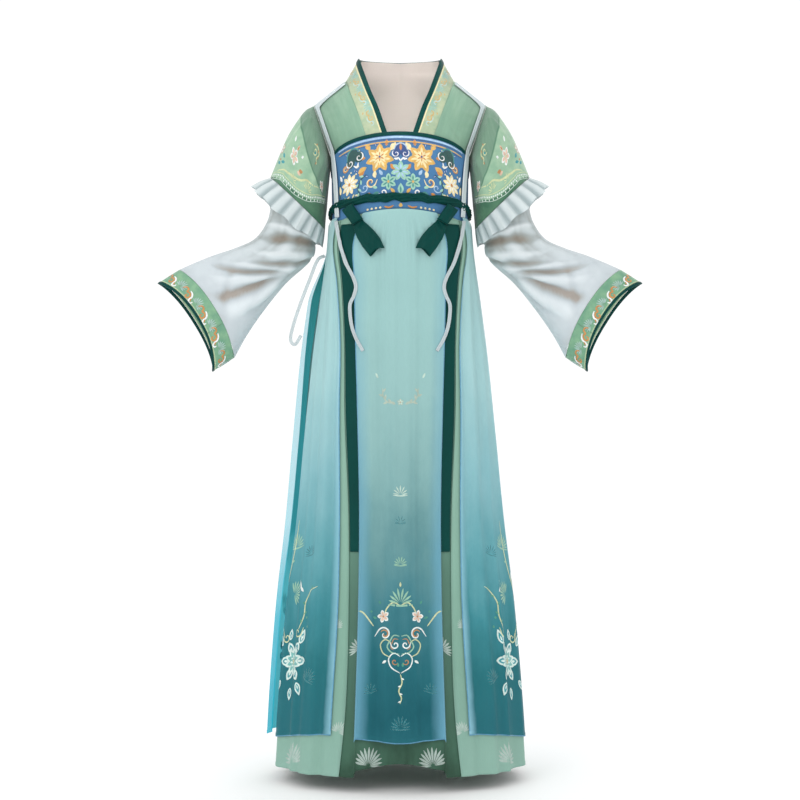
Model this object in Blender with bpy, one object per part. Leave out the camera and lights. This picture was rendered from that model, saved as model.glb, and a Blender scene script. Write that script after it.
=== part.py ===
"""Chest-high hanfu dress in its worn shape, with no wearer.

Metres, +Z up, the front faces -Y. The origin lies between the shoulders at the
base of the neck, where a wearer carries the dress. Left is -X, as seen from the
front. Heights are given as drop, the distance below the origin.
"""

import math

import bpy
import numpy as np

# Cloth sizes
CLOTH = 0.0014
SHEER = 0.0012
LAYER = 0.0005
SEAM = 0.0002
COLLAR_SEAM = 0.0005

# Level sections of the chest and skirt. Squareness 2 is an ellipse.
BODY_COLUMNS = ("drop", "half_width", "front", "back", "squareness")
BODY = (
    (0.100, 0.1355, 0.104, 0.094, 2.50),
    (0.190, 0.1365, 0.108, 0.096, 2.50),
    (0.285, 0.1365, 0.107, 0.098, 2.45),
    (0.330, 0.1395, 0.111, 0.103, 2.40),
    (0.450, 0.1560, 0.124, 0.118, 2.30),
    (0.530, 0.1670, 0.132, 0.128, 2.25),
    (0.720, 0.1845, 0.147, 0.148, 2.15),
    (0.880, 0.1985, 0.159, 0.163, 2.10),
    (1.040, 0.2170, 0.172, 0.178, 2.10),
    (1.240, 0.2330, 0.186, 0.193, 2.05),
    (1.400, 0.2410, 0.194, 0.201, 2.05),
)

# Half widths at which the front edges of the skirt layers hang
EDGE_COLUMNS = ("drop", "apron", "back_sheet", "vest")
EDGES = (
    (0.275, 0.0700, 0.1130, 0.1175),
    (0.326, 0.0875, 0.1215, 0.1265),
    (0.410, 0.0870, 0.1143, 0.1190),
    (0.522, 0.0850, 0.1085, 0.1130),
    (0.658, 0.0812, 0.1070, 0.1145),
    (0.870, 0.0770, 0.0984, 0.1135),
    (1.024, 0.0786, 0.0980, 0.1160),
    (1.250, 0.0850, 0.1053, 0.1290),
    (1.360, 0.0890, 0.1167, 0.1350),
)
TAIL_TUCK = 0.004

# Lines of the skirt in its own count: 0 centre front, 1 inner edge of the ribbon
# tail, 2 apron edge, 3 back sheet edge, 4 vest edge, 5 side, 6 centre back
TAIL_LINE, APRON_LINE, SHEET_LINE, VEST_LINE, SIDE_LINE, BACK_LINE = 1, 2, 3, 4, 5, 6
STEPS_BETWEEN_LINES = (4, 1, 2, 1, 7, 11)
ROW_CROWDING = 1.35

# Hanging folds: line where each runs, half width in lines, depth at the hem and
# the drop where it begins
FOLD_COLUMNS = ("line", "half_width", "depth", "start")
FOLDS = (
    (0.00, 0.62, 0.0060, 0.300),
    (-1.45, 0.60, 0.0040, 0.420),
    (1.45, 0.60, 0.0045, 0.360),
    (-4.30, 0.24, 0.0110, 0.480),
    (4.33, 0.26, 0.0090, 0.400),
    (-4.74, 0.20, 0.0085, 0.620),
    (4.76, 0.19, 0.0110, 0.560),
    (-5.22, 0.15, 0.0120, 0.330),
    (5.19, 0.15, 0.0105, 0.360),
    (-5.47, 0.14, 0.0140, 0.420),
    (5.45, 0.15, 0.0150, 0.320),
    (-5.73, 0.15, 0.0110, 0.310),
    (5.70, 0.14, 0.0125, 0.470),
    (-5.95, 0.13, 0.0130, 0.380),
    (5.92, 0.12, 0.0090, 0.340),
)
HEM_DROP = 1.362
HEM_RISE = {"height": 0.024, "half_width": 2.2}

# Front sheet: the inward fold at its centre, near the hem
CENTRE_FOLD = {"half_width": 0.9, "depth": 0.030, "start": 0.95}

# Drops of the skirt's parts
BODICE_TOP_DROP = 0.1165
BODICE_CURVE = 0.057
BODICE_SHOULDER = 0.0165
SKIRT_TOP_DROP = 0.268
SKIRT_SIDE_FALL = 0.030
BINDING_WIDTH = 0.0075
BINDING_OUT = 0.0005
BINDING_THICK = 0.0019
SIDE_SEAM_GAP = 0.006
CORNER_EASE = {"line": 4.5, "half_width": 0.9, "depth": 0.0021, "start": 0.16, "fade": 0.05}
RIBBON_DROP = 0.2450
RIBBON_FALL = 0.0275
RIBBON_WIDTH = 0.0165
APRON_HEM = 1.291
APRON_SCALLOP = {"depth": 0.003, "pace": 3.0}
VEST_HEM_FRONT = 1.284
VEST_HEM_SIDE = 1.308
VEST_TOP_DROP = 0.281
VEST_SIDE_DROP = 0.296

# How far each skirt layer's outer face lies outside the front sheet's
SHEET_OUT = CLOTH + LAYER
TAIL_OUT = CLOTH + 0.0016
APRON_OUT = TAIL_OUT + SHEER + 0.0013
VEST_OUT = SHEET_OUT + SHEER + 0.0020
RIBBON_OUT = CLOTH + LAYER
TRIM_OUT = 0.0074
TRIM = 0.0011

# Vest back: its free front edge swings out on the left
SLIT_FLARE = {"line": -5.0, "half_width": 0.42, "depth": 0.024, "start": 0.345, "full": 0.62}
SLIT_GAP = 0.012

# Rows of the vest back below the armhole: drops at the edge and at the centre, and
# the line where the edge runs, which reaches the side under the arm
VEST_UNDERARM_COLUMNS = ("edge_drop", "centre_drop", "edge_line")
VEST_UNDERARM = (
    (0.205, 0.232, 5.30),
    (0.240, 0.260, 5.29),
    (0.270, 0.284, 5.24),
    (0.292, 0.302, 5.16),
    (0.312, 0.320, 5.07),
    (0.332, 0.338, 5.012),
)
VEST_ARMHOLE_INSET = 0.007
VEST_BACK_ROWS = 8

# Shoulders and armholes of the shirt
NECK_SIDE = (0.108, 0.003)
SHOULDER_TIP = (0.172, 0.052)
ARMPIT = (0.134, 0.165)
SHOULDER_SLOPE = 0.78
SPRING_DROP = 0.190
FRONT_ROUNDING = 2.2
BACK_ROUNDING = 3.5
ARMHOLE_EASE = 0.08
SHIRT_INSET = 0.0028
FRONT_INSET = 0.0035
SHIRT_ROUNDER = 0.25
SHIRT_HEM = 0.288
ARMHOLE_GAP = 0.0008
NECK_FADE = 1 / 2.2

# Collar: outer seam and free edge of one side, from the hem up to the centre back
COLLAR_COLUMNS = ("seam_x", "seam_drop", "edge_x", "edge_drop", "edge_y")
COLLAR_FRONT = (
    (0.0440, 0.288, 0.0040, 0.288, None),
    (0.0440, 0.240, 0.0040, 0.240, None),
    (0.0440, 0.190, 0.0040, 0.190, None),
    (0.0560, 0.150, 0.0130, 0.150, None),
    (0.0690, 0.115, 0.0262, 0.1145, None),
    (0.0850, 0.068, 0.0420, 0.068, None),
    (0.0990, 0.030, 0.0585, 0.028, None),
)
COLLAR_BACK = (
    (0.1080, 0.003, 0.0800, -0.036, -0.014),
    (0.0985, 0.000, 0.0800, -0.043, 0.020),
    (0.0800, -0.003, 0.0660, -0.045, 0.047),
    (0.0450, -0.006, 0.0360, -0.0455, 0.063),
    (0.0000, -0.007, 0.0000, -0.0450, 0.068),
)
BAND_SHARE = 0.76
COLLAR_EDGE_WALL = 0.0022
COLLAR_EDGE_LIFT = 0.0004

# Sleeve rings: top and bottom points in x and drop, half depth, and how far the
# ring's front and back bow towards the body
SLEEVE_COLUMNS = ("top_x", "top_drop", "bottom_x", "bottom_drop", "depth", "bow_front", "bow_back")
CAP_RINGS = (
    (0.187, 0.061, 0.1400, 0.190, 0.0640, 0.0, 0.0),
    (0.202, 0.079, 0.1425, 0.214, 0.0690, 0.0, 0.0),
    (0.223, 0.112, 0.1450, 0.240, 0.0730, 0.0, 0.0),
    (0.240, 0.150, 0.1475, 0.268, 0.0730, 0.0, 0.0),
    (0.2586, 0.196, 0.1500, 0.299, 0.0710, 0.0, 0.0),
)
RUFFLE_RINGS = (
    (0.2592, 0.1968, 0.1505, 0.3000, 0.0712, 0.000, 0.000),
    (0.2770, 0.2050, 0.1540, 0.3160, 0.0745, -0.004, -0.004),
    (0.2930, 0.2150, 0.1575, 0.3310, 0.0775, -0.009, -0.009),
)
LOWER_RINGS = (
    (0.2495, 0.1755, 0.1495, 0.2843, 0.0711, 0.0, 0.0),
    (0.251, 0.222, 0.164, 0.298, 0.0575, 0.0, 0.0),
    (0.257, 0.250, 0.168, 0.325, 0.0550, 0.0, 0.0),
    (0.266, 0.285, 0.173, 0.352, 0.0540, 0.0, 0.0),
    (0.290, 0.318, 0.200, 0.381, 0.0530, 0.0, 0.0),
    (0.330, 0.337, 0.235, 0.413, 0.0520, 0.004, 0.004),
    (0.372, 0.351, 0.272, 0.460, 0.0500, 0.010, 0.008),
    (0.410, 0.366, 0.304, 0.508, 0.0470, 0.016, 0.010),
    (0.4405, 0.3795, 0.3310, 0.5550, 0.0440, 0.022, 0.012),
)
CUFF_RINGS = (
    (0.4413, 0.3799, 0.3317, 0.5556, 0.0445, 0.0222, 0.0122),
    (0.4600, 0.3915, 0.3520, 0.5690, 0.0430, 0.0270, 0.0140),
    (0.4780, 0.4030, 0.3705, 0.5800, 0.0415, 0.0310, 0.0155),
)
CUFF_EDGE_RINGS = (
    (0.4784, 0.4033, 0.3709, 0.5803, 0.0415, 0.0311, 0.0156),
    (0.4846, 0.4073, 0.3755, 0.5830, 0.0410, 0.0325, 0.0160),
)
SLEEVE_SQUARENESS = 2.3
SLEEVE_STEPS = 24
RUFFLE_PLEATS = 20
RUFFLE_WAVE = 0.0040
RUFFLE_GROWTH = (0.12, 0.7, 1.0)
CUFF_WALL = 0.0018
CUFF_EDGE_WALL = 0.0022
CUFF_EDGE_LIFT = 0.0003

# Folds in the lower sleeve: place round the ring in turns from the top, half width
# in turns, ring where each is deepest, reach in rings, and depth
SLEEVE_FOLD_COLUMNS = ("turn", "half_width", "ring", "reach", "depth")
SLEEVE_FOLDS = (
    (0.14, 0.07, 4.2, 3.0, 0.0050),
    (0.27, 0.07, 3.0, 2.4, 0.0065),
    (0.38, 0.06, 4.6, 2.6, 0.0060),
    (0.60, 0.07, 3.6, 3.0, 0.0060),
    (0.74, 0.07, 4.4, 2.8, 0.0050),
    (0.88, 0.06, 3.4, 2.6, 0.0050),
)

FOLD_SINK = 0.002

# Bow
KNOT = {"x": 0.0868, "drop": 0.2780, "length": 0.036, "width": 0.021, "lean": 32.0}
KNOT_OUT = 0.0110
KNOT_THICK = 0.0065
KNOT_EDGE = 0.0025
LOOP_COLUMNS = ("x", "drop", "width", "height")
LOOP = (
    (0.0800, 0.2870, 0.015, 0.0036),
    (0.0760, 0.2975, 0.021, 0.0042),
    (0.0700, 0.3080, 0.028, 0.0095),
    (0.0620, 0.3200, 0.033, 0.0125),
    (0.0525, 0.3340, 0.035, 0.0140),
    (0.0420, 0.3500, 0.031, 0.0130),
)
LOOP_OUT = 0.0062
LOOP_STEPS = 12
TAIL_TOP_DROP = 0.296
TAIL_END_DROP = 0.932
TAIL_OUTER_LINE = 2.88
TAIL_ROWS = 9

# Thin ties on the front and at the left side
TIE_COLUMNS = ("x", "drop")
TIE = (
    (0.1205, 0.2880),
    (0.1137, 0.3283),
    (0.1023, 0.3705),
    (0.0882, 0.4005),
    (0.0830, 0.4200),
    (0.0871, 0.4380),
    (0.0942, 0.4562),
    (0.0919, 0.4904),
    (0.0840, 0.5178),
    (0.0697, 0.5451),
)
TIE_WIDTH = 0.0065
SIDE_TIE_LINE = -4.86
SIDE_TIE_DROP = 0.352
SIDE_TIE_OUT = VEST_OUT + 0.0032
SIDE_TIE_COLUMNS = ("x", "y", "drop")
SIDE_TIE = (
    (-0.1640, -0.022, 0.362),
    (-0.1790, -0.030, 0.400),
    (-0.1960, -0.036, 0.445),
    (-0.2110, -0.038, 0.490),
    (-0.2170, -0.038, 0.520),
    (-0.2080, -0.039, 0.530),
    (-0.1960, -0.040, 0.512),
)
STRAP_WIDTH = 0.0085
STRAP_OUT = 0.0040
STRAP_LOW_OUT = 0.0042
STRAP_RIDGE = {"from_neck": 0.004, "from_tip": 0.003, "under": 0.0012, "narrow": 0.004}
STRAP_RIDGE_FALL = 0.0075
STRAP_BEND = {"narrow": 0.010, "fall": 0.0060}
STRAP_ARMHOLE = {"inset": 0.0012, "slant": 0.002}
STRAP_ARMHOLE_DROPS = (0.064, 0.078, 0.094, 0.112, 0.130, 0.146)
STRAP_CHEST_COLUMNS = ("drop", "x")
STRAP_CHEST = (
    (0.1720, 0.1325),
    (0.2000, 0.1298),
    (0.2380, 0.1275),
    (0.2806, 0.1255),
)

# Neck lining: how far its first row lies in from the collar's edge, rows below the
# collar, widening over its depth, the wall behind it and its own thickness
LINING_EDGE_SHARE = 0.03
LINING_DROPS = (0.045, 0.100, 0.160)
LINING_SPREAD = 0.10
LINING_GAP = 0.0019
LINING_THICK = 0.0011

COLOURS = {
    "shirt": (0.245, 0.440, 0.300),
    "sleeve_print": (0.240, 0.420, 0.270),
    "sheer_white": (0.720, 0.760, 0.770),
    "band_pattern": (0.330, 0.500, 0.330),
    "dark_green": (0.004, 0.075, 0.060),
    "beige_lining": (0.665, 0.600, 0.545),
    "bodice_blue": (0.080, 0.190, 0.410),
    "skirt_green": (0.270, 0.420, 0.340),
    "apron_teal": (0.120, 0.360, 0.400),
    "vest_blue": (0.130, 0.370, 0.440),
    "sheer_trim": (0.470, 0.640, 0.620),
}


def clear_scene():
    for thing in list(bpy.data.objects):
        bpy.data.objects.remove(thing, do_unlink=True)


def material(slot):
    """The cloth's plain material, made once."""
    found = bpy.data.materials.get(slot)
    if found:
        return found
    made = bpy.data.materials.new(slot)
    made.use_nodes = True
    shader = made.node_tree.nodes["Principled BSDF"]
    shader.inputs["Base Color"].default_value = (*COLOURS[slot], 1.0)
    shader.inputs["Roughness"].default_value = 0.75
    shader.inputs["Metallic"].default_value = 0.0
    return made


def smooth_curve(xs, ys, at):
    """A smooth curve through a table's points, level beyond its ends."""
    xs = np.asarray(xs, float)
    ys = np.asarray(ys, float)
    slopes = np.gradient(ys, xs)
    at = np.clip(at, xs[0], xs[-1])
    i = np.clip(np.searchsorted(xs, at) - 1, 0, len(xs) - 2)
    step = xs[i + 1] - xs[i]
    t = (at - xs[i]) / step
    rise = ys[i] * (1 + 2 * t) * (1 - t) ** 2 + ys[i + 1] * t**2 * (3 - 2 * t)
    return rise + step * (slopes[i] * t * (1 - t) ** 2 + slopes[i + 1] * t**2 * (t - 1))


def column(table, names, name):
    return [row[names.index(name)] for row in table]


def body(name, drop):
    return smooth_curve(column(BODY, BODY_COLUMNS, "drop"), column(BODY, BODY_COLUMNS, name), drop)


def edge_x(name, drop):
    return smooth_curve(column(EDGES, EDGE_COLUMNS, "drop"), column(EDGES, EDGE_COLUMNS, name), drop)


def soft_bump(distance):
    """1 at 0, falling softly to 0 at 1 and beyond."""
    return np.cos(np.clip(np.abs(distance), 0, 1) * math.pi / 2) ** 2


def soft_step(t):
    t = np.clip(t, 0, 1)
    return t * t * (3 - 2 * t)


def angle_at(x, drop):
    """The direction on the section, from the centre front, where its half width is x."""
    n = body("squareness", drop)
    q = np.clip(x / body("half_width", drop), 0, 0.9999)
    return np.arctan2(q, (1 - q**n) ** (1 / n))


def wrap(angle, drop, out):
    """Points of the body section at the angles, moved out level and square to it."""
    n = body("squareness", drop)
    width = body("half_width", drop)
    depth = np.where(np.cos(angle) > 0, body("front", drop), body("back", drop))
    across = np.sin(angle)
    along = np.cos(angle)
    reach = (np.abs(across) ** n + np.abs(along) ** n) ** (1 / n)
    x = width * across / reach
    y = -depth * along / reach
    normal_x = np.sign(x) * np.abs(x / width) ** (n - 1) / width
    normal_y = np.sign(y) * np.abs(y / depth) ** (n - 1) / depth
    length = np.hypot(normal_x, normal_y)
    x = x + out * normal_x / length
    y = y + out * normal_y / length
    return np.stack([x, y, -drop], axis=-1)


def line_angles(drop):
    """Angles of the skirt's lines 0 to 6 at the drops."""
    apron = edge_x("apron", drop)
    zero = np.zeros_like(drop)
    return np.stack(
        [
            zero,
            angle_at(apron - TAIL_TUCK, drop),
            angle_at(apron, drop),
            angle_at(edge_x("back_sheet", drop), drop),
            angle_at(edge_x("vest", drop), drop),
            zero + math.pi / 2,
            zero + math.pi,
        ],
        axis=-1,
    )


def line_angle(line, drop):
    """The signed angle of a place between lines."""
    lines = line_angles(drop)
    place = np.abs(line)
    low = np.clip(np.floor(place).astype(int), 0, 5)
    part = place - low
    start = np.take_along_axis(lines, low[..., None], -1)[..., 0]
    end = np.take_along_axis(lines, low[..., None] + 1, -1)[..., 0]
    return np.sign(line) * (start * (1 - part) + end * part)


def fold_depth(line, drop):
    """How far the hanging folds stand out from the plain section."""
    total = np.zeros_like(drop)
    for at, half_width, depth, start in FOLDS:
        away = line - at
        away = np.where(np.abs(away) > BACK_LINE, away - np.sign(away) * 2 * BACK_LINE, away)
        grown = np.clip((drop - start) / (HEM_DROP - start), 0, 1) ** 0.8
        total = total + depth * grown * soft_bump(away / half_width)
    return total


def skirt(line, drop, out):
    """Points of a skirt layer at its lines and drops."""
    line = np.asarray(line, float)
    drop = np.asarray(drop, float)
    return wrap(line_angle(line, drop), drop, fold_depth(line, drop) + out)


def line_at_x(x, drop):
    """The line count where the front of the skirt has half width x."""
    lines = line_angles(np.array([drop]))[0]
    return float(np.interp(angle_at(np.array([x]), np.array([drop]))[0], lines, range(7)))


def lines_between(first, last):
    """Line counts from first to last, both whole numbers from 0 to 6, on the right side."""
    counts = []
    for low in range(first, last):
        steps = STEPS_BETWEEN_LINES[low]
        counts += [low + i / steps for i in range(steps)]
    return counts + [float(last)]


def mirrored(lines):
    """The same lines on the left and then on the right, centre once."""
    return [-line for line in reversed(lines) if line != 0] + list(lines)


def around_back(lines):
    """Lines from the right side round the centre back to the left side."""
    return list(lines) + [-line for line in reversed(lines[:-1])]


def unwrapped(line):
    """Counts past the centre back, written as the same place on the other side."""
    line = np.asarray(line, float)
    return np.where(line > BACK_LINE, line - 2 * BACK_LINE, line)


def grid_normals(points, closed):
    """Unit normals of a grid, along rows by columns, turned away from the grid's inside."""
    if closed:
        across = np.roll(points, -1, axis=1) - np.roll(points, 1, axis=1)
    else:
        across = np.gradient(points, axis=1)
    along = np.gradient(points, axis=0)
    normal = np.cross(across, along)
    return normal / np.maximum(np.linalg.norm(normal, axis=2, keepdims=True), 1e-12)


def trimmed(points, top=0.0, bottom=0.0, start=0.0, end=0.0):
    """The grid with its edges drawn in along its own surface."""
    points = points.copy()
    for gap, edge, inner in ((top, 0, 1), (bottom, -1, -2)):
        step = points[inner] - points[edge]
        points[edge] += gap * step / np.linalg.norm(step, axis=-1, keepdims=True)
    for gap, edge, inner in ((start, 0, 1), (end, -1, -2)):
        step = points[:, inner] - points[:, edge]
        points[:, edge] += gap * step / np.linalg.norm(step, axis=-1, keepdims=True)
    return points


def wall_faces(rows, columns, closed):
    """Triangles of a thin wall whose outer and inner grids follow each other."""
    inner = rows * columns
    faces = []
    last = columns if closed else columns - 1
    for r in range(rows - 1):
        for c in range(last):
            d = (c + 1) % columns
            a, b = r * columns + c, r * columns + d
            e, f = a + columns, b + columns
            faces += [(a, e, b), (b, e, f)]
            faces += [(inner + a, inner + b, inner + e), (inner + b, inner + f, inner + e)]
    for c in range(last):
        d = (c + 1) % columns
        for a, b in ((c, d), ((rows - 1) * columns + d, (rows - 1) * columns + c)):
            faces += [(a, b, inner + a), (b, inner + b, inner + a)]
    if not closed:
        for r in range(rows - 1):
            near, far = r * columns, (r + 1) * columns
            for a, b in ((far, near), (near + columns - 1, far + columns - 1)):
                faces += [(a, b, inner + a), (b, inner + b, inner + a)]
    return faces


def signed_volume(points, faces):
    corners = points[np.array(faces)]
    return np.einsum("ij,ij->i", corners[:, 0], np.cross(corners[:, 1], corners[:, 2])).sum() / 6


def wall(name, slot, outer, inner, closed=False):
    """One closed cloth wall between two grids of points, facing out."""
    rows, columns = outer.shape[:2]
    points = np.concatenate([outer.reshape(-1, 3), inner.reshape(-1, 3)])
    faces = wall_faces(rows, columns, closed)
    if signed_volume(points, faces) < 0:
        faces = [face[::-1] for face in faces]
    mesh = bpy.data.meshes.new(name)
    mesh.from_pydata(points.tolist(), [], faces)
    mesh.update()
    mesh.shade_smooth()
    mesh.set_sharp_from_angle(angle=math.radians(50))
    mesh.materials.append(material(slot))
    thing = bpy.data.objects.new(name, mesh)
    bpy.context.scene.collection.objects.link(thing)
    return thing


def skirt_wall(name, slot, lines, top, bottom, out, thick, rows, extra=None):
    """A skirt layer between two drops, each a function of the line."""
    lines = np.asarray(lines, float)
    share = np.linspace(0, 1, rows)[:, None] ** ROW_CROWDING
    drop = top(lines)[None, :] * (1 - share) + bottom(lines)[None, :] * share
    line = np.broadcast_to(unwrapped(lines), drop.shape)
    shift = out + (extra(line, drop) if extra else 0.0)
    wall(name, slot, skirt(line, drop, shift), skirt(line, drop, shift - thick))


def bodice_top(lines):
    """Drop of the bodice's upper edge: an arch in front, level at the back."""
    angle = line_angle(lines, np.full_like(lines, 0.15))
    turn = 1 - np.cos(np.minimum(np.abs(angle), math.pi / 2))
    return BODICE_TOP_DROP + BODICE_CURVE * turn + BODICE_SHOULDER * turn**4


def skirt_top(lines):
    angle = line_angle(lines, np.full_like(lines, 0.28))
    return SKIRT_TOP_DROP + SKIRT_SIDE_FALL * np.sin(np.minimum(np.abs(angle), math.pi / 2)) ** 2


def ribbon_drop(lines):
    angle = line_angle(lines, np.full_like(lines, 0.26))
    return RIBBON_DROP + RIBBON_FALL * (1 - np.cos(np.minimum(np.abs(angle), math.pi / 2)))


def hem(lines):
    """Drop of the underskirt's hem, raised a little where the feet come out in front."""
    return HEM_DROP - HEM_RISE["height"] * soft_bump(lines / HEM_RISE["half_width"])


def centre_fold(line, drop):
    grown = soft_step((drop - CENTRE_FOLD["start"]) / (HEM_DROP - CENTRE_FOLD["start"]))
    return -CENTRE_FOLD["depth"] * grown * soft_bump(line / CENTRE_FOLD["half_width"])


def vest_hem(lines):
    side = soft_step((np.minimum(np.abs(lines), SIDE_LINE) - VEST_LINE) / (SIDE_LINE - VEST_LINE))
    return VEST_HEM_FRONT + (VEST_HEM_SIDE - VEST_HEM_FRONT) * side


def slit_flare(line, drop):
    grown = soft_step((drop - SLIT_FLARE["start"]) / (SLIT_FLARE["full"] - SLIT_FLARE["start"]))
    away = (line - SLIT_FLARE["line"]) / SLIT_FLARE["half_width"]
    return SLIT_FLARE["depth"] * grown * soft_bump(away)


def make_skirt():
    """Front sheet, back sheet lapped over it, and the apron in front."""
    seam = 2 * SEAM

    def top(lines):
        return skirt_top(lines) + seam

    front = mirrored(lines_between(0, VEST_LINE))
    skirt_wall("underskirt_front", "skirt_green", front, top, hem, 0.0, CLOTH, 11, centre_fold)
    back = around_back(lines_between(SHEET_LINE, BACK_LINE))
    skirt_wall("underskirt_back", "skirt_green", back, top, hem, SHEET_OUT, CLOTH, 11)
    apron = mirrored(lines_between(0, APRON_LINE))

    def apron_hem(lines):
        return APRON_HEM + APRON_SCALLOP["depth"] * np.cos(lines * APRON_SCALLOP["pace"])

    skirt_wall("apron", "apron_teal", apron, top, apron_hem, APRON_OUT, SHEER, 9)


def corner_ease(line, drop):
    """The bodice's top corners stand a little off the shirt under the arms."""
    fade = 1 - soft_step((drop - CORNER_EASE["start"]) / CORNER_EASE["fade"])
    away = (np.abs(line) - CORNER_EASE["line"]) / CORNER_EASE["half_width"]
    return CORNER_EASE["depth"] * fade * soft_bump(away)


def make_bodice():
    """Blue chest band in a front and a back, with a dark bound upper edge."""
    front = mirrored(lines_between(0, SIDE_LINE))
    back = around_back(lines_between(SIDE_LINE, BACK_LINE))
    for lines in (front, back):
        lines[0] += SIDE_SEAM_GAP
        lines[-1] -= SIDE_SEAM_GAP

    def under_binding(lines):
        return bodice_top(unwrapped(lines)) + BINDING_WIDTH + SEAM

    def bottom(lines):
        return skirt_top(unwrapped(lines)) - SEAM

    def binding_top(lines):
        return bodice_top(unwrapped(lines))

    def binding_bottom(lines):
        return bodice_top(unwrapped(lines)) + BINDING_WIDTH - SEAM

    skirt_wall(
        "bodice_front", "bodice_blue", front, under_binding, bottom, 0.0, CLOTH, 5, corner_ease
    )
    skirt_wall("bodice_back", "bodice_blue", back, under_binding, bottom, 0.0, CLOTH, 4)
    for name, lines in (("bodice_binding_front", front), ("bodice_binding_back", back)):
        ease = corner_ease if name.endswith("front") else None
        skirt_wall(
            name,
            "dark_green",
            lines,
            binding_top,
            binding_bottom,
            BINDING_OUT,
            BINDING_THICK,
            2,
            ease,
        )


def make_ribbon():
    """The belt round the chest: a closed ring."""
    lines = np.array(mirrored(lines_between(0, BACK_LINE)))[1:]
    share = np.array([[-0.5], [0.5]])
    drop = ribbon_drop(lines)[None, :] + share * RIBBON_WIDTH
    line = np.broadcast_to(lines, drop.shape)
    outer = skirt(line, drop, RIBBON_OUT)
    inner = skirt(line, drop, RIBBON_OUT - CLOTH)
    wall("chest_ribbon", "dark_green", outer, inner, closed=True)


def make_tail(side, name):
    """A belt end that hangs between the apron and the back sheet."""
    lines = side * np.array([TAIL_LINE, APRON_LINE, APRON_LINE + 0.5, TAIL_OUTER_LINE])
    share = np.linspace(0, 1, TAIL_ROWS)[:, None]
    drop = TAIL_TOP_DROP + (TAIL_END_DROP - TAIL_TOP_DROP) * share + 0 * lines[None, :]
    line = np.broadcast_to(lines, drop.shape)
    outer = skirt(line, drop, TAIL_OUT)
    wall(name, "dark_green", outer, skirt(line, drop, TAIL_OUT - CLOTH))


def front_place(x, drop, side, out):
    """A point over the skirt's front at half width x."""
    line = np.array([side * line_at_x(abs(x), drop)])
    return skirt(line, np.array([drop]), out)[0]


def make_knot(side, name):
    """A wrapped knot at the belt's lower edge, a rounded slanted pad."""
    lean = math.radians(KNOT["lean"])
    share = (-0.5, -0.4, -0.15, 0.15, 0.4, 0.5)
    top = np.zeros((len(share), len(share), 3))
    base = np.zeros((len(share), len(share), 3))
    for r, v in enumerate(share):
        for c, u in enumerate(share):
            across = u * KNOT["width"]
            along = v * KNOT["length"]
            x = KNOT["x"] + along * math.sin(lean) + across * math.cos(lean)
            drop = KNOT["drop"] - along * math.cos(lean) + across * math.sin(lean)
            round_off = (1 - abs(2 * u) ** 4) * (1 - abs(2 * v) ** 4)
            rise = KNOT_EDGE + KNOT_THICK * round_off**0.5
            base[r, c] = front_place(x, drop, side, KNOT_OUT)
            top[r, c] = front_place(x, drop, side, KNOT_OUT + rise)
    wall(name, "dark_green", top, base)


def make_loop(side, name):
    """One loop of the bow: a flattened tube of ribbon, open at its end."""
    outer = np.zeros((len(LOOP), LOOP_STEPS, 3))
    inner = np.zeros((len(LOOP), LOOP_STEPS, 3))
    run = np.array([(row[0], row[1]) for row in LOOP])
    heading = np.gradient(run, axis=0)
    heading /= np.linalg.norm(heading, axis=1, keepdims=True)
    for r, (x, drop, width, height) in enumerate(LOOP):
        for c in range(LOOP_STEPS):
            turn = 2 * math.pi * c / LOOP_STEPS
            for grid, less in ((outer, 0.0), (inner, CLOTH)):
                across = (width / 2 - less) * math.cos(turn)
                rise = height / 2 + (height / 2 - less) * math.sin(turn)
                at_x = x + across * heading[r][1]
                at_drop = drop - across * heading[r][0]
                grid[r, c] = front_place(at_x, at_drop, side, LOOP_OUT + rise)
    wall(name, "dark_green", outer, inner, closed=True)


def make_front_tie(side, name):
    """A thin tie that hangs over the vest edge, the ribbon tail and the apron."""
    run = np.array(TIE)
    heading = np.gradient(run, axis=0)
    heading /= np.linalg.norm(heading, axis=1, keepdims=True)
    outer = np.zeros((len(TIE), 2, 3))
    inner = np.zeros((len(TIE), 2, 3))
    for r, (x, drop) in enumerate(TIE):
        for c, half in enumerate((-TIE_WIDTH / 2, TIE_WIDTH / 2)):
            at_x = x + half * heading[r][1]
            at_drop = drop - half * heading[r][0]
            outer[r, c] = front_place(at_x, at_drop, side, TRIM_OUT)
            inner[r, c] = front_place(at_x, at_drop, side, TRIM_OUT - TRIM)
    wall(name, "sheer_trim", outer, inner)


def make_side_tie():
    """The thin tie at the left side, hanging free with its end turned up."""
    sewn = skirt([SIDE_TIE_LINE], [SIDE_TIE_DROP], SIDE_TIE_OUT)
    run = np.concatenate([sewn, [(x, y, -drop) for x, y, drop in SIDE_TIE]])
    heading = np.gradient(run, axis=0)
    across = np.cross(heading, (0.0, 1.0, 0.0))
    across /= np.linalg.norm(across, axis=1, keepdims=True)
    half = across * TIE_WIDTH / 2
    front = np.stack([run - half, run + half], axis=1)
    back = front + np.array((0.0, TRIM, 0.0))
    wall("side_tie_loop", "sheer_trim", front, back)


def ridge_drop(x):
    """Drop of the shoulder's ridge line at half width x."""
    return NECK_SIDE[1] + SHOULDER_SLOPE * (np.abs(x) - NECK_SIDE[0])


def armhole_x(drop):
    """Half width of the straight armhole line between shoulder tip and armpit."""
    share = (drop - SHOULDER_TIP[1]) / (ARMPIT[1] - SHOULDER_TIP[1])
    share = np.clip(share, 0, 1)
    return SHOULDER_TIP[0] + (ARMPIT[0] - SHOULDER_TIP[0]) * share


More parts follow.
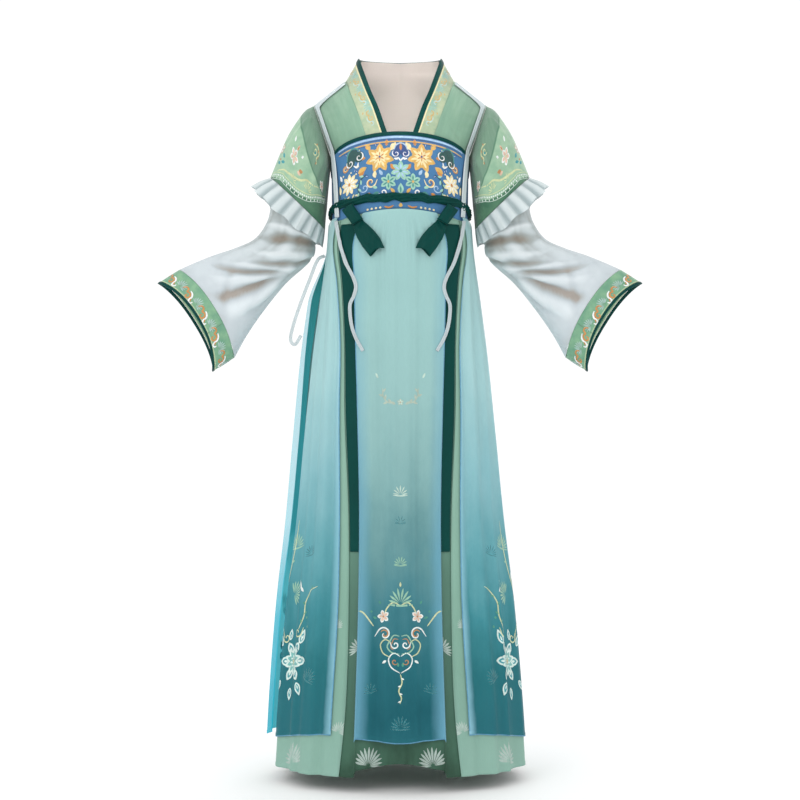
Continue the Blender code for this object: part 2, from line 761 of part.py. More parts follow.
def torso_depth(x, drop, back, out):
    """Depth of the shirt's front or back at half width x, for a surface moved out."""
    share = np.clip((drop - SHOULDER_TIP[1]) / (ARMPIT[1] - SHOULDER_TIP[1]), 0, 1)
    rise = ARMHOLE_EASE * (1 - (2 * share - 1) ** 2) * soft_step((1 - share) * 1.5)
    under = soft_step((drop - ARMPIT[1]) / (SPRING_DROP - ARMPIT[1]))
    width = armhole_x(drop) * (1 + rise) * (1 - under)
    width = width + (body("half_width", drop) - SHIRT_INSET) * under + out
    inset = SHIRT_INSET if back else FRONT_INSET
    depth = body("back" if back else "front", drop) - inset + out
    n = body("squareness", drop) - SHIRT_ROUNDER
    flat = (1 - np.clip(np.abs(x) / width, 0, 1) ** n) ** (1 / n)
    ridge = ridge_drop(x) - out
    lift = np.clip((SPRING_DROP - drop) / (SPRING_DROP - ridge), 0, 1)
    rounding = BACK_ROUNDING if back else FRONT_ROUNDING
    return depth * flat * np.sqrt(1 - lift**rounding)


def torso_points(x, drop, back, out=0.0):
    depth = torso_depth(x, drop, back, out)
    return np.stack([x, depth if back else -depth, -drop], axis=-1)


def armhole_drops():
    """Drops down the armhole, closer together where it rounds."""
    angles = np.linspace(0, math.pi, SLEEVE_STEPS // 2 + 1)
    share = (1 - np.cos(angles)) / 2
    return SHOULDER_TIP[1] + (ARMPIT[1] - SHOULDER_TIP[1]) * share


def side_run():
    """The outer edge of a shirt half: half width and drop, shoulder tip to hem."""
    drops = np.concatenate([armhole_drops(), [SPRING_DROP, SHIRT_HEM]])
    width = np.where(drops <= ARMPIT[1], armhole_x(drops), body("half_width", drops) - SHIRT_INSET)
    return width, drops


def outward(normals, points, centre):
    """Turns all normals of a grid to the side away from its centre."""
    sign = np.sign(((points - np.asarray(centre)) * normals).sum(axis=2).mean())
    return normals * (sign if sign else 1.0)


def make_shirt_front(side, name):
    """Half of the shirt's front, from the collar seam to the armhole and side seam."""
    outer_x, outer_drop = side_run()
    seam = collar_runs()[0][len(outer_drop) - 1::-1]
    seam_x, seam_drop = seam[:, 0], -seam[:, 2]
    spread = np.sin(np.linspace(0, math.pi / 2, 8))
    x = seam_x[:, None] * (1 - spread) + outer_x[:, None] * spread
    drop = seam_drop[:, None] * (1 - spread) + outer_drop[:, None] * spread
    points = torso_points(x, drop, False)
    points = trimmed(points, top=SEAM, start=COLLAR_SEAM)
    points[len(armhole_drops()) - 1:, -1, 1] = -SEAM
    normals = outward(grid_normals(points, False), points, (0.09, 0.0, -0.2))
    side_rows = len(armhole_drops()) - 1
    normals[0, :, 1] = 0
    normals[side_rows:, -1] = (1.0, 0.0, 0.0)
    normals /= np.linalg.norm(normals, axis=2, keepdims=True)
    mirror = np.array((side, 1.0, 1.0))
    wall(name, "shirt", points * mirror, (points - normals * CLOTH) * mirror)


def back_neck(count):
    """The back neckline's half width and drop, from the neck side to the centre."""
    x = np.array([row[0] for row in COLLAR_BACK])
    drop = np.array([row[1] for row in COLLAR_BACK])
    known = np.linspace(0, 1, len(COLLAR_BACK))
    share = np.linspace(0, 1, count)
    return smooth_curve(known, x, share), smooth_curve(known, drop, share)


def back_grid(hem_drop):
    """Half of the back from the armhole to the centre: half width and drop grids."""
    outer_x, outer_drop = side_run()
    keep = outer_drop <= hem_drop + 1e-6
    outer_x, outer_drop = outer_x[keep], outer_drop[keep]
    neck_x, neck_drop = back_neck(5)
    ridge_x = np.linspace(SHOULDER_TIP[0], NECK_SIDE[0], 4)
    top_x = np.concatenate([ridge_x, neck_x[1:]])
    top_drop = np.concatenate([ridge_drop(ridge_x), neck_drop[1:]])
    share = top_x / top_x[0]
    centre_drop = np.linspace(top_drop[-1], outer_drop[-1], len(outer_drop))
    x = outer_x[:, None] * share[None, :]
    curve = (1 - share**2)[None, :]
    plain = outer_drop[:, None] * (1 - curve) + centre_drop[:, None] * curve
    rows = np.linspace(0, 1, len(outer_drop))
    fade = np.clip(1 - rows / NECK_FADE, 0, 1)[:, None]
    first = plain[0][None, :]
    drop = plain + (top_drop[None, :] - first) * fade
    return x, drop


def make_shirt_back():
    """The shirt's back in one piece, from armhole to armhole."""
    x, drop = back_grid(SHIRT_HEM)
    half = torso_points(x, drop, True)
    half = trimmed(half, top=SEAM)
    side_rows = len(armhole_drops()) - 1
    half[side_rows:, 0, 1] = SEAM
    normals = outward(grid_normals(half, False), half, (0.0, -0.05, -0.15))
    normals[0, :4, 1] = 0
    normals[side_rows:, 0] = (1.0, 0.0, 0.0)
    normals[:, -1, 0] = 0
    normals /= np.linalg.norm(normals, axis=2, keepdims=True)
    mirror = np.array((-1.0, 1.0, 1.0))
    outer = np.concatenate([half, (half * mirror)[:, -2::-1]], axis=1)
    inner_half = half - normals * CLOTH
    inner = np.concatenate([inner_half, (inner_half * mirror)[:, -2::-1]], axis=1)
    wall("shirt_back", "shirt", outer, inner)


def collar_runs():
    """Seam and free edge of the right half, from the front hem to the centre back."""
    seam = []
    edge = []
    for x, drop, edge_at, edge_drop, _ in COLLAR_FRONT:
        seam.append((x, -float(torso_depth(x, drop, False, 0.0)), -drop))
        edge.append((edge_at, -float(torso_depth(edge_at, edge_drop, False, 0.0)), -edge_drop))
    for x, drop, edge_at, edge_drop, edge_y in COLLAR_BACK:
        seam.append((x, float(torso_depth(x, drop, True, 0.0)), -drop))
        edge.append((edge_at, edge_y, -edge_drop))
    known = np.linspace(0, 1, len(seam))
    at = np.linspace(0, 1, 2 * len(seam) - 1)
    runs = []
    for run in (np.array(seam), np.array(edge)):
        run = np.stack([smooth_curve(known, run[:, i], at) for i in range(3)], axis=1)
        run[-1, 0] = 0.0
        runs.append(run)
    return runs


def make_collar():
    """The collar's patterned band and its dark bound edge, each round the whole neck."""
    seam, edge = collar_runs()
    mirror = np.array((-1.0, 1.0, 1.0))
    for name, slot, first, last, rows, thick in (
        ("collar_band", "band_pattern", 0.0, BAND_SHARE, 3, CLOTH),
        ("collar_binding", "dark_green", BAND_SHARE, 1.0, 2, COLLAR_EDGE_WALL),
    ):
        share = np.linspace(first, last, rows)[:, None, None]
        half = seam[None] * (1 - share) + edge[None] * share
        half = trimmed(half, top=COLLAR_SEAM if name == "collar_band" else SEAM)
        if name == "collar_band":
            half = trimmed(half, bottom=SEAM)
        points = np.concatenate([half, (half * mirror)[:, -2::-1]], axis=1)
        normals = outward(grid_normals(points, False), points, (0.0, 0.0, -0.1))
        lift = COLLAR_EDGE_LIFT if name == "collar_binding" else 0.0
        wall(name, slot, points + normals * lift, points - normals * (thick - lift))


def ring_points(rings, steps, inset=0.0):
    """Points round each sleeve ring of the right sleeve, from the top over the front."""
    angles = np.linspace(0, 2 * math.pi, steps, endpoint=False)
    along = np.cos(angles)
    across = np.sin(angles)
    n = SLEEVE_SQUARENESS
    reach = (np.abs(along) ** n + np.abs(across) ** n) ** (1 / n)
    along, across = along / reach, across / reach
    points = []
    for top_x, top_drop, bottom_x, bottom_drop, depth, bow_front, bow_back in rings:
        half = np.array(((top_x - bottom_x) / 2, (bottom_drop - top_drop) / 2))
        length = np.hypot(*half)
        middle = np.array(((top_x + bottom_x) / 2, (top_drop + bottom_drop) / 2))
        scale = (length - inset) / length
        bow = np.where(across > 0, bow_front, bow_back) * across**2
        towards_x, towards_drop = -half[1] / length, -half[0] / length
        x = middle[0] + half[0] * scale * along + bow * towards_x
        drop = middle[1] - half[1] * scale * along + bow * towards_drop
        y = -(depth - inset) * across
        points.append(np.stack([x, y, -drop], axis=-1))
    return np.array(points)


def armhole_ring():
    """The armhole's own points, moved off its edge, as the sleeve's first ring."""
    drops = armhole_drops()
    front = torso_points(armhole_x(drops), drops, False)
    back = torso_points(armhole_x(drops), drops, True)[-2:0:-1]
    ring = np.concatenate([front, back])
    line = np.array((SHOULDER_TIP[0] - ARMPIT[0], 0.0, ARMPIT[1] - SHOULDER_TIP[1]))
    line /= np.linalg.norm(line)
    away = np.array((line[2], 0.0, -line[0]))
    return ring + away * ARMHOLE_GAP


def tube_wall(name, slot, points, thick, side, lift=0.0):
    """A sleeve wall round the given rings."""
    normals = grid_normals(points, True)
    middle = points.mean(axis=1, keepdims=True)
    if ((points - middle) * normals).sum() < 0:
        normals = -normals
    mirror = np.array((side, 1.0, 1.0))
    outer = (points + normals * lift) * mirror
    wall(name, slot, outer, (points - normals * (thick - lift)) * mirror, closed=True)


def sleeve_folds(points):
    """Moves the lower sleeve's points out along its folds."""
    middle = points.mean(axis=1, keepdims=True)
    away = points - middle
    away /= np.linalg.norm(away, axis=2, keepdims=True)
    turns = np.arange(points.shape[1]) / points.shape[1]
    rings = np.arange(points.shape[0])
    total = np.zeros(points.shape[:2])
    for turn, half_width, ring, reach, depth in SLEEVE_FOLDS:
        across = soft_bump((turns - turn) / half_width)
        along = soft_bump((rings - ring) / reach)
        total += depth * along[:, None] * across[None, :]
    return points + away * (total[..., None] - FOLD_SINK * (total[..., None] > 0))


def make_sleeve(side, word):
    cap = np.concatenate([armhole_ring()[None], ring_points(CAP_RINGS, SLEEVE_STEPS)])
    tube_wall(f"sleeve_cap_{word}", "sleeve_print", cap, CLOTH, side)
    steps = 4 * RUFFLE_PLEATS
    ruffle = ring_points(RUFFLE_RINGS, steps)
    middle = ruffle.mean(axis=1, keepdims=True)
    away = ruffle - middle
    away /= np.linalg.norm(away, axis=2, keepdims=True)
    wave = np.sin(np.arange(steps) * math.pi / 2)[None, :, None]
    size = (RUFFLE_WAVE * np.array(RUFFLE_GROWTH))[:, None, None]
    tube_wall(f"sleeve_ruffle_{word}", "sheer_white", ruffle + away * wave * size, SHEER, side)
    lower = sleeve_folds(ring_points(LOWER_RINGS, SLEEVE_STEPS))
    tube_wall(f"sleeve_lower_{word}", "sheer_white", lower, SHEER, side)
    cuff = ring_points(CUFF_RINGS, SLEEVE_STEPS)
    tube_wall(f"cuff_band_{word}", "band_pattern", cuff, CUFF_WALL, side)
    edge = ring_points(CUFF_EDGE_RINGS, SLEEVE_STEPS)
    tube_wall(f"cuff_binding_{word}", "dark_green", edge, CUFF_EDGE_WALL, side, CUFF_EDGE_LIFT)


def make_vest_front(side, word):
    """A sheer side panel, from the strap's end and the side down to the hem."""
    lines = np.array(lines_between(VEST_LINE, SIDE_LINE))
    lines[-1] -= SLIT_GAP

    def top(at):
        share = soft_step((np.abs(at) - VEST_LINE) / (SIDE_LINE - VEST_LINE))
        return VEST_TOP_DROP + (VEST_SIDE_DROP - VEST_TOP_DROP) * share

    name = f"vest_front_{word}"
    skirt_wall(name, "vest_blue", side * lines, top, vest_hem, VEST_OUT, SHEER, 11)


def make_strap(side, word):
    """The vest's rolled front edge: along the shoulder, then down to the panel."""
    ridge_x = np.linspace(
        NECK_SIDE[0] + STRAP_RIDGE["from_neck"], SHOULDER_TIP[0] - STRAP_RIDGE["from_tip"], 4
    )
    outer = [(x, ridge_drop(x) + STRAP_RIDGE["under"]) for x in ridge_x]
    inner = [(x - STRAP_RIDGE["narrow"], ridge_drop(x) + STRAP_RIDGE_FALL) for x in ridge_x[:-1]]
    tip_x = ridge_x[-1]
    inner.append((tip_x - STRAP_BEND["narrow"], ridge_drop(tip_x) + STRAP_BEND["fall"]))
    for drop in STRAP_ARMHOLE_DROPS:
        x = float(armhole_x(drop)) - STRAP_ARMHOLE["inset"]
        outer.append((x, drop))
        inner.append((x - STRAP_WIDTH, drop + STRAP_ARMHOLE["slant"]))
    points = []
    for out in (STRAP_OUT, STRAP_OUT - TRIM):
        rows = []
        for pair in zip(outer, inner):
            x = np.array([p[0] for p in pair])
            drop = np.array([p[1] for p in pair])
            rows.append(torso_points(x, drop, False, out))
        for drop, x in STRAP_CHEST:
            both = np.array((x, x - STRAP_WIDTH))
            at = np.array((drop, drop))
            rows.append(wrap(angle_at(both, at), at, STRAP_LOW_OUT - (STRAP_OUT - out)))
        points.append(np.array(rows))
    mirror = np.array((side, 1.0, 1.0))
    wall(f"vest_strap_{word}", "sheer_trim", points[0] * mirror, points[1] * mirror)


def make_vest_back():
    """The vest's back, from the shoulders down over the belt to the hem."""
    share = (np.array(lines_between(SIDE_LINE, BACK_LINE)) - SIDE_LINE) / (BACK_LINE - SIDE_LINE)
    curve = 1 - (1 - share) ** 2
    right, left = [], []
    mirror = np.array((-1.0, 1.0, 1.0))
    x, drop = back_grid(SPRING_DROP)
    for r in range(0, x.shape[0] - 1, 2):
        place = np.linspace(0, 1, x.shape[1])
        row_x = np.interp(share, place, x[r])
        row_x = row_x * (1 - VEST_ARMHOLE_INSET / row_x[0])
        row = torso_points(row_x, np.interp(share, place, drop[r]), True, VEST_OUT + SHIRT_INSET)
        right.append(row)
        left.append(row * mirror)
    rows = list(VEST_UNDERARM)
    last_edge, last_centre = rows[-1][:2]
    for step in np.linspace(0, 1, VEST_BACK_ROWS + 1)[1:] ** ROW_CROWDING:
        edge = last_edge + (VEST_HEM_SIDE - last_edge) * step
        centre = last_centre + (VEST_HEM_SIDE - last_centre) * step
        rows.append((edge, centre, SIDE_LINE + SLIT_GAP))
    for edge, centre, first_line in rows:
        lines = first_line + (BACK_LINE - first_line) * share
        row_drop = edge + (centre - edge) * curve
        right.append(skirt(lines, row_drop, VEST_OUT))
        left.append(skirt(-lines, row_drop, VEST_OUT + slit_flare(-lines, row_drop)))
    right, left = np.array(right), np.array(left)
    outer = np.concatenate([right, left[:, -2::-1]], axis=1)
    normals = outward(grid_normals(outer, False), outer, (0.0, -0.1, -0.6))
    wall("vest_back", "vest_blue", outer, outer - normals * SHEER)


def make_neck_lining():
    """Plain lining inside the back neck, up to the collar's edge."""
    seam, edge = collar_runs()
    start = 2 * len(COLLAR_FRONT)
    seam, edge = seam[start:], edge[start:]
    rows = [edge + (seam - edge) * share for share in (LINING_EDGE_SHARE, 0.5, 1.0)]
    for drop in LINING_DROPS:
        x = seam[:, 0] * (1 + LINING_SPREAD * drop / LINING_DROPS[-1])
        depth = torso_depth(x, np.full_like(x, drop), True, 0.0)
        rows.append(np.stack([x, depth, np.full_like(x, -drop)], axis=1))
    half = np.array(rows)[:, 2:]
    half[:, -1, 0] = 0.0
    mirror = np.array((-1.0, 1.0, 1.0))
    points = np.concatenate([half, (half * mirror)[:, -2::-1]], axis=1)
    normals = outward(grid_normals(points, False), points, (0.0, -0.1, -0.05))
    outer = points - normals * (CLOTH + LINING_GAP)
    wall("back_neck_lining", "beige_lining", outer, outer - normals * LINING_THICK)


def main():
    clear_scene()
    make_shirt_back()
    make_collar()
    make_neck_lining()
    make_bodice()
    make_ribbon()
    make_skirt()
    make_vest_back()
    make_side_tie()
    for side, word in ((-1.0, "left"), (1.0, "right")):
        make_shirt_front(side, f"shirt_front_{word}")
        make_sleeve(side, word)
        make_vest_front(side, word)
        make_strap(side, word)
        make_tail(side, f"ribbon_tail_{word}")
        make_knot(side, f"bow_knot_{word}")
        make_loop(side, f"bow_loop_{word}")
        make_front_tie(side, f"vest_tie_{word}")


main()
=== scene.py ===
"""Chest-high hanfu dress with a sheer over-vest: cloth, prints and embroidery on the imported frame."""

import math

import bpy
import numpy as np
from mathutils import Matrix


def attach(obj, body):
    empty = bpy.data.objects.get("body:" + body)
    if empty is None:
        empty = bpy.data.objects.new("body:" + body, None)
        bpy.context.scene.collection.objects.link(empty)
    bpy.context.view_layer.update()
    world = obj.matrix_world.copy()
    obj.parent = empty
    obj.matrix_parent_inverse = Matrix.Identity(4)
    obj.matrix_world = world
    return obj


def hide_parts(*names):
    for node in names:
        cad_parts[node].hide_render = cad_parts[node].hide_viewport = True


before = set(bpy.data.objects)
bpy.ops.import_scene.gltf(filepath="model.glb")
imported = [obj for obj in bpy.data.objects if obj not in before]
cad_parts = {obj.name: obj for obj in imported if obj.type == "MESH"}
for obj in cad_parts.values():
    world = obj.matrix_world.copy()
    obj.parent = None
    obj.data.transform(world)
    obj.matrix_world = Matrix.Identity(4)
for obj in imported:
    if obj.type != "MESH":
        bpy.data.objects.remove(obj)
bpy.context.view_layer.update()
BODY_NAME = "root"
RANDOM = np.random.default_rng(31)

# Cloth sizes, metres
CLOTH = 0.0014
SHEER = 0.0012
LAYER = 0.0005
THIN = 0.0008
HEM_FOLD = 0.008

# Level sections of the chest and skirt
BODY_COLUMNS = ("drop", "half_width", "front", "back", "squareness")
BODY = (
    (0.100, 0.1355, 0.104, 0.094, 2.50),
    (0.190, 0.1365, 0.108, 0.096, 2.50),
    (0.285, 0.1365, 0.107, 0.098, 2.45),
    (0.330, 0.1395, 0.111, 0.103, 2.40),
    (0.450, 0.1560, 0.124, 0.118, 2.30),
    (0.530, 0.1670, 0.132, 0.128, 2.25),
    (0.720, 0.1845, 0.147, 0.148, 2.15),
    (0.880, 0.1985, 0.159, 0.163, 2.10),
    (1.040, 0.2170, 0.172, 0.178, 2.10),
    (1.240, 0.2330, 0.186, 0.193, 2.05),
    (1.400, 0.2410, 0.194, 0.201, 2.05),
)
EDGE_COLUMNS = ("drop", "apron", "back_sheet", "vest")
EDGES = (
    (0.275, 0.0700, 0.1130, 0.1175),
    (0.326, 0.0875, 0.1215, 0.1265),
    (0.410, 0.0870, 0.1143, 0.1190),
    (0.522, 0.0850, 0.1085, 0.1130),
    (0.658, 0.0812, 0.1070, 0.1145),
    (0.870, 0.0770, 0.0984, 0.1135),
    (1.024, 0.0786, 0.0980, 0.1160),
    (1.250, 0.0850, 0.1053, 0.1290),
    (1.360, 0.0890, 0.1167, 0.1350),
)
TAIL_TUCK = 0.004
TAIL_LINE, APRON_LINE, SHEET_LINE, VEST_LINE, SIDE_LINE, BACK_LINE = 1, 2, 3, 4, 5, 6
# Columns: line, half_width, depth, start
FOLDS = (
    (0.00, 0.62, 0.0060, 0.300),
    (-1.45, 0.60, 0.0040, 0.420),
    (1.45, 0.60, 0.0045, 0.360),
    (-4.30, 0.24, 0.0110, 0.480),
    (4.33, 0.26, 0.0090, 0.400),
    (-4.74, 0.20, 0.0085, 0.620),
    (4.76, 0.19, 0.0110, 0.560),
    (-5.22, 0.15, 0.0120, 0.330),
    (5.19, 0.15, 0.0105, 0.360),
    (-5.47, 0.14, 0.0140, 0.420),
    (5.45, 0.15, 0.0150, 0.320),
    (-5.73, 0.15, 0.0110, 0.310),
    (5.70, 0.14, 0.0125, 0.470),
    (-5.95, 0.13, 0.0130, 0.380),
    (5.92, 0.12, 0.0090, 0.340),
)
HEM_DROP = 1.362
HEM_RISE = {"height": 0.024, "half_width": 2.2}
CENTRE_FOLD = {"half_width": 0.9, "depth": 0.030, "start": 0.95}

# Creases that all skirt layers share: metres round the waist from the centre front,
# drift to the hem, half width, depth (below 0 a trough), and the drops where each
# begins and is full
# Columns: at, drift, half_width, depth, start, full
CREASES = (
    (-0.036, -0.004, 0.013, -0.0034, 0.272, 0.42),
    (0.038, 0.003, 0.012, -0.0030, 0.272, 0.40),
    (-0.012, 0.002, 0.010, 0.0016, 0.275, 0.50),
    (0.016, 0.000, 0.011, 0.0018, 0.275, 0.60),
    (-0.058, 0.000, 0.010, 0.0020, 0.300, 0.55),
    (0.060, 0.000, 0.011, 0.0022, 0.300, 0.62),
    (-0.132, -0.004, 0.010, -0.0042, 0.310, 0.45),
    (0.130, 0.003, 0.010, -0.0046, 0.310, 0.50),
    (-0.148, 0.004, 0.012, 0.0044, 0.300, 0.60),
    (0.146, 0.006, 0.010, 0.0036, 0.300, 0.52),
    (-0.168, 0.000, 0.011, -0.0050, 0.340, 0.70),
    (0.166, 0.000, 0.012, -0.0052, 0.320, 0.62),
    (-0.185, 0.004, 0.010, 0.0040, 0.330, 0.80),
    (0.183, -0.004, 0.009, 0.0046, 0.330, 0.60),
)
HIDDEN_CREASES = {"count": 26, "from": 0.20, "width": (0.010, 0.022), "depth": (0.0022, 0.0052)}
GATHERS = {"count": 150, "width": (0.0030, 0.0062), "depth": (0.0005, 0.0015)}

BODICE_TOP_DROP = 0.1165
BODICE_CURVE = 0.057
BODICE_SHOULDER = 0.0165
SKIRT_TOP_DROP = 0.268
SKIRT_SIDE_FALL = 0.030
BINDING_WIDTH = 0.0075
CORNER_EASE = {"line": 4.5, "half_width": 0.9, "depth": 0.0021, "start": 0.16, "fade": 0.05}
RIBBON_DROP = 0.2450
RIBBON_FALL = 0.0275
RIBBON_WIDTH = 0.0165
APRON_HEM = 1.291
APRON_SCALLOP = {"depth": 0.003, "pace": 3.0}
VEST_HEM_FRONT = 1.284
VEST_HEM_SIDE = 1.308
VEST_TOP_DROP = 0.281
VEST_SIDE_DROP = 0.296
SHEET_OUT = CLOTH + LAYER
TAIL_OUT = CLOTH + 0.0016
APRON_OUT = TAIL_OUT + SHEER + 0.0013
VEST_OUT = SHEET_OUT + SHEER + 0.0020
RIBBON_OUT = CLOTH + LAYER
TRIM_OUT = 0.0074
SLIT_FLARE = {"line": -5.0, "half_width": 0.42, "depth": 0.024, "start": 0.335, "full": 0.45}
SLIT_GAP = 0.012
VEST_CLEAR = 0.899
VEST_EDGE = 0.957
SLIT_TOP = 0.34
SIDE_SEAM_GAP = 0.006
# Columns: edge_drop, centre_drop, edge_line
VEST_UNDERARM = (
    (0.205, 0.232, 5.30),
    (0.240, 0.260, 5.29),
    (0.270, 0.284, 5.24),
    (0.292, 0.302, 5.16),
    (0.312, 0.320, 5.07),
    (0.332, 0.338, 5.012),
)
VEST_ARMHOLE_INSET = 0.007

NECK_SIDE = (0.108, 0.003)
SHOULDER_TIP = (0.172, 0.052)
ARMPIT = (0.134, 0.165)
SHOULDER_SLOPE = 0.78
SPRING_DROP = 0.190
FRONT_ROUNDING = 2.2
BACK_ROUNDING = 3.5
ARMHOLE_EASE = 0.08
SHIRT_INSET = 0.0028
FRONT_INSET = 0.0035
SHIRT_ROUNDER = 0.25
SHIRT_HEM = 0.288
ARMHOLE_GAP = 0.0008
NECK_FADE = 1 / 2.2
ARMHOLE_ROWS = 12
SIDE_ROWS = 14
RIDGE_COLUMNS = 3
BACK_COLUMNS = 7

# Columns: seam_x, seam_drop, edge_x, edge_drop, edge_y
COLLAR_FRONT = (
    (0.0440, 0.288, 0.0040, 0.288, None),
    (0.0440, 0.240, 0.0040, 0.240, None),
    (0.0440, 0.190, 0.0040, 0.190, None),
    (0.0560, 0.150, 0.0130, 0.150, None),
    (0.0690, 0.115, 0.0262, 0.1145, None),
    (0.0850, 0.068, 0.0420, 0.068, None),
    (0.0990, 0.030, 0.0585, 0.028, None),
)
COLLAR_BACK = (
    (0.1080, 0.003, 0.0800, -0.036, -0.014),
    (0.0985, 0.000, 0.0800, -0.043, 0.020),
    (0.0800, -0.003, 0.0660, -0.045, 0.047),
    (0.0450, -0.006, 0.0360, -0.0455, 0.063),
    (0.0000, -0.007, 0.0000, -0.0450, 0.068),
)
BAND_SHARE = 0.76
LINING_EDGE_SHARE = 0.03
LINING_DROPS = (0.045, 0.100, 0.160)
LINING_SPREAD = 0.10
LINING_GAP = 0.0019

# Columns: top_x, top_drop, bottom_x, bottom_drop, depth, bow_front, bow_back
CAP_RINGS = (
    (0.187, 0.061, 0.1400, 0.190, 0.0640, 0.0, 0.0),
    (0.202, 0.079, 0.1425, 0.214, 0.0690, 0.0, 0.0),
    (0.223, 0.112, 0.1450, 0.240, 0.0730, 0.0, 0.0),
    (0.240, 0.150, 0.1475, 0.268, 0.0730, 0.0, 0.0),
    (0.2586, 0.196, 0.1500, 0.299, 0.0710, 0.0, 0.0),
)
RUFFLE_RINGS = (
    (0.2592, 0.1968, 0.1505, 0.3000, 0.0712, 0.000, 0.000),
    (0.2770, 0.2050, 0.1540, 0.3160, 0.0745, -0.004, -0.004),
    (0.2930, 0.2150, 0.1575, 0.3310, 0.0775, -0.009, -0.009),
)
LOWER_RINGS = (
    (0.2495, 0.1755, 0.1495, 0.2843, 0.0711, 0.0, 0.0),
    (0.251, 0.222, 0.164, 0.298, 0.0575, 0.0, 0.0),
    (0.257, 0.250, 0.168, 0.325, 0.0550, 0.0, 0.0),
    (0.266, 0.285, 0.173, 0.352, 0.0540, 0.0, 0.0),
    (0.290, 0.318, 0.200, 0.381, 0.0530, 0.0, 0.0),
    (0.330, 0.337, 0.235, 0.413, 0.0520, 0.004, 0.004),
    (0.372, 0.351, 0.272, 0.460, 0.0500, 0.010, 0.008),
    (0.410, 0.366, 0.304, 0.508, 0.0470, 0.016, 0.010),
    (0.4405, 0.3795, 0.3310, 0.5550, 0.0440, 0.022, 0.012),
)
CUFF_RINGS = (
    (0.4413, 0.3799, 0.3317, 0.5556, 0.0445, 0.0222, 0.0122),
    (0.4600, 0.3915, 0.3520, 0.5690, 0.0430, 0.0270, 0.0140),
    (0.4780, 0.4030, 0.3705, 0.5800, 0.0415, 0.0310, 0.0155),
)
CUFF_EDGE_RINGS = (
    (0.4784, 0.4033, 0.3709, 0.5803, 0.0415, 0.0311, 0.0156),
    (0.4846, 0.4073, 0.3755, 0.5830, 0.0410, 0.0325, 0.0160),
)
SLEEVE_SQUARENESS = 2.3
SLEEVE_STEPS = 120
RUFFLE_PLEATS = 20
RUFFLE_WAVE = 0.0040
# Columns: turn, half_width, ring, reach, depth
SLEEVE_FOLDS = (
    (0.14, 0.07, 4.2, 3.0, 0.0050),
    (0.27, 0.07, 3.0, 2.4, 0.0065),
    (0.38, 0.06, 4.6, 2.6, 0.0060),
    (0.60, 0.07, 3.6, 3.0, 0.0060),
    (0.74, 0.07, 4.4, 2.8, 0.0050),
    (0.88, 0.06, 3.4, 2.6, 0.0050),
)
FOLD_SINK = 0.002

# Creases along the lower sleeve: turns and rings from end to end, half width in
# turns, and depth (below 0 a trough)
# Columns: from_turn, to_turn, from_ring, to_ring, half_width, depth
SLEEVE_CREASES = (
    (0.50, 0.12, 2.0, 3.9, 0.085, -0.0085),
    (0.50, 0.10, 1.6, 3.2, 0.070, 0.0050),
    (0.49, 0.18, 2.8, 4.7, 0.060, 0.0060),
    (0.50, 0.22, 3.2, 5.3, 0.050, -0.0070),
    (0.42, 0.15, 3.9, 6.2, 0.045, 0.0055),
    (0.42, 0.13, 4.4, 6.6, 0.045, -0.0085),
    (0.40, 0.18, 4.5, 7.2, 0.035, 0.0060),
    (0.40, 0.225, 4.6, 7.9, 0.034, -0.0100),
    (0.44, 0.28, 4.8, 8.0, 0.045, 0.0060),
    (0.16, 0.30, 5.6, 8.0, 0.032, -0.0030),
    (0.50, 0.86, 2.1, 3.9, 0.080, -0.0075),
    (0.50, 0.80, 3.0, 5.4, 0.055, -0.0065),
    (0.56, 0.84, 3.8, 6.3, 0.045, 0.0055),
    (0.60, 0.79, 4.6, 7.8, 0.036, -0.0085),
    (0.58, 0.73, 4.8, 8.0, 0.045, 0.0055),
    (0.90, 0.95, 1.4, 6.6, 0.026, 0.0040),
)
CAP_CREASES = (
    (0.16, 0.12, 0.4, 3.6, 0.024, 0.0030),
    (0.24, 0.20, 0.8, 4.4, 0.026, -0.0034),
    (0.36, 0.31, 0.2, 3.8, 0.026, 0.0034),
    (0.42, 0.40, 0.4, 4.2, 0.022, -0.0036),
    (0.62, 0.66, 0.3, 3.8, 0.026, 0.0034),
    (0.74, 0.79, 0.6, 4.2, 0.028, -0.0034),
    (0.86, 0.89, 0.4, 3.6, 0.024, 0.0030),
)

KNOT = {"x": 0.0868, "drop": 0.2780, "length": 0.036, "width": 0.021, "lean": 32.0}
KNOT_OUT = 0.0110
KNOT_THICK = 0.0065
KNOT_EDGE = 0.0025
# Columns: x, drop, width, height
LOOP = (
    (0.0800, 0.2870, 0.015, 0.0036),
    (0.0760, 0.2975, 0.021, 0.0042),
    (0.0700, 0.3080, 0.028, 0.0095),
    (0.0620, 0.3200, 0.033, 0.0125),
    (0.0525, 0.3340, 0.035, 0.0140),
    (0.0420, 0.3500, 0.031, 0.0130),
)
LOOP_OUT = 0.0062
TAIL_TOP_DROP = 0.296
TAIL_END_DROP = 0.932
TAIL_OUTER_LINE = 2.88
# Columns: x, drop
TIE = (
    (0.1205, 0.2880),
    (0.1137, 0.3283),
    (0.1023, 0.3705),
    (0.0882, 0.4005),
    (0.0830, 0.4200),
    (0.0871, 0.4380),
    (0.0942, 0.4562),
    (0.0919, 0.4904),
    (0.0840, 0.5178),
    (0.0697, 0.5451),
)
TIE_WIDTH = 0.0065
SIDE_TIE_LINE = -4.86
SIDE_TIE_DROP = 0.352
SIDE_TIE_OUT = VEST_OUT + 0.0032
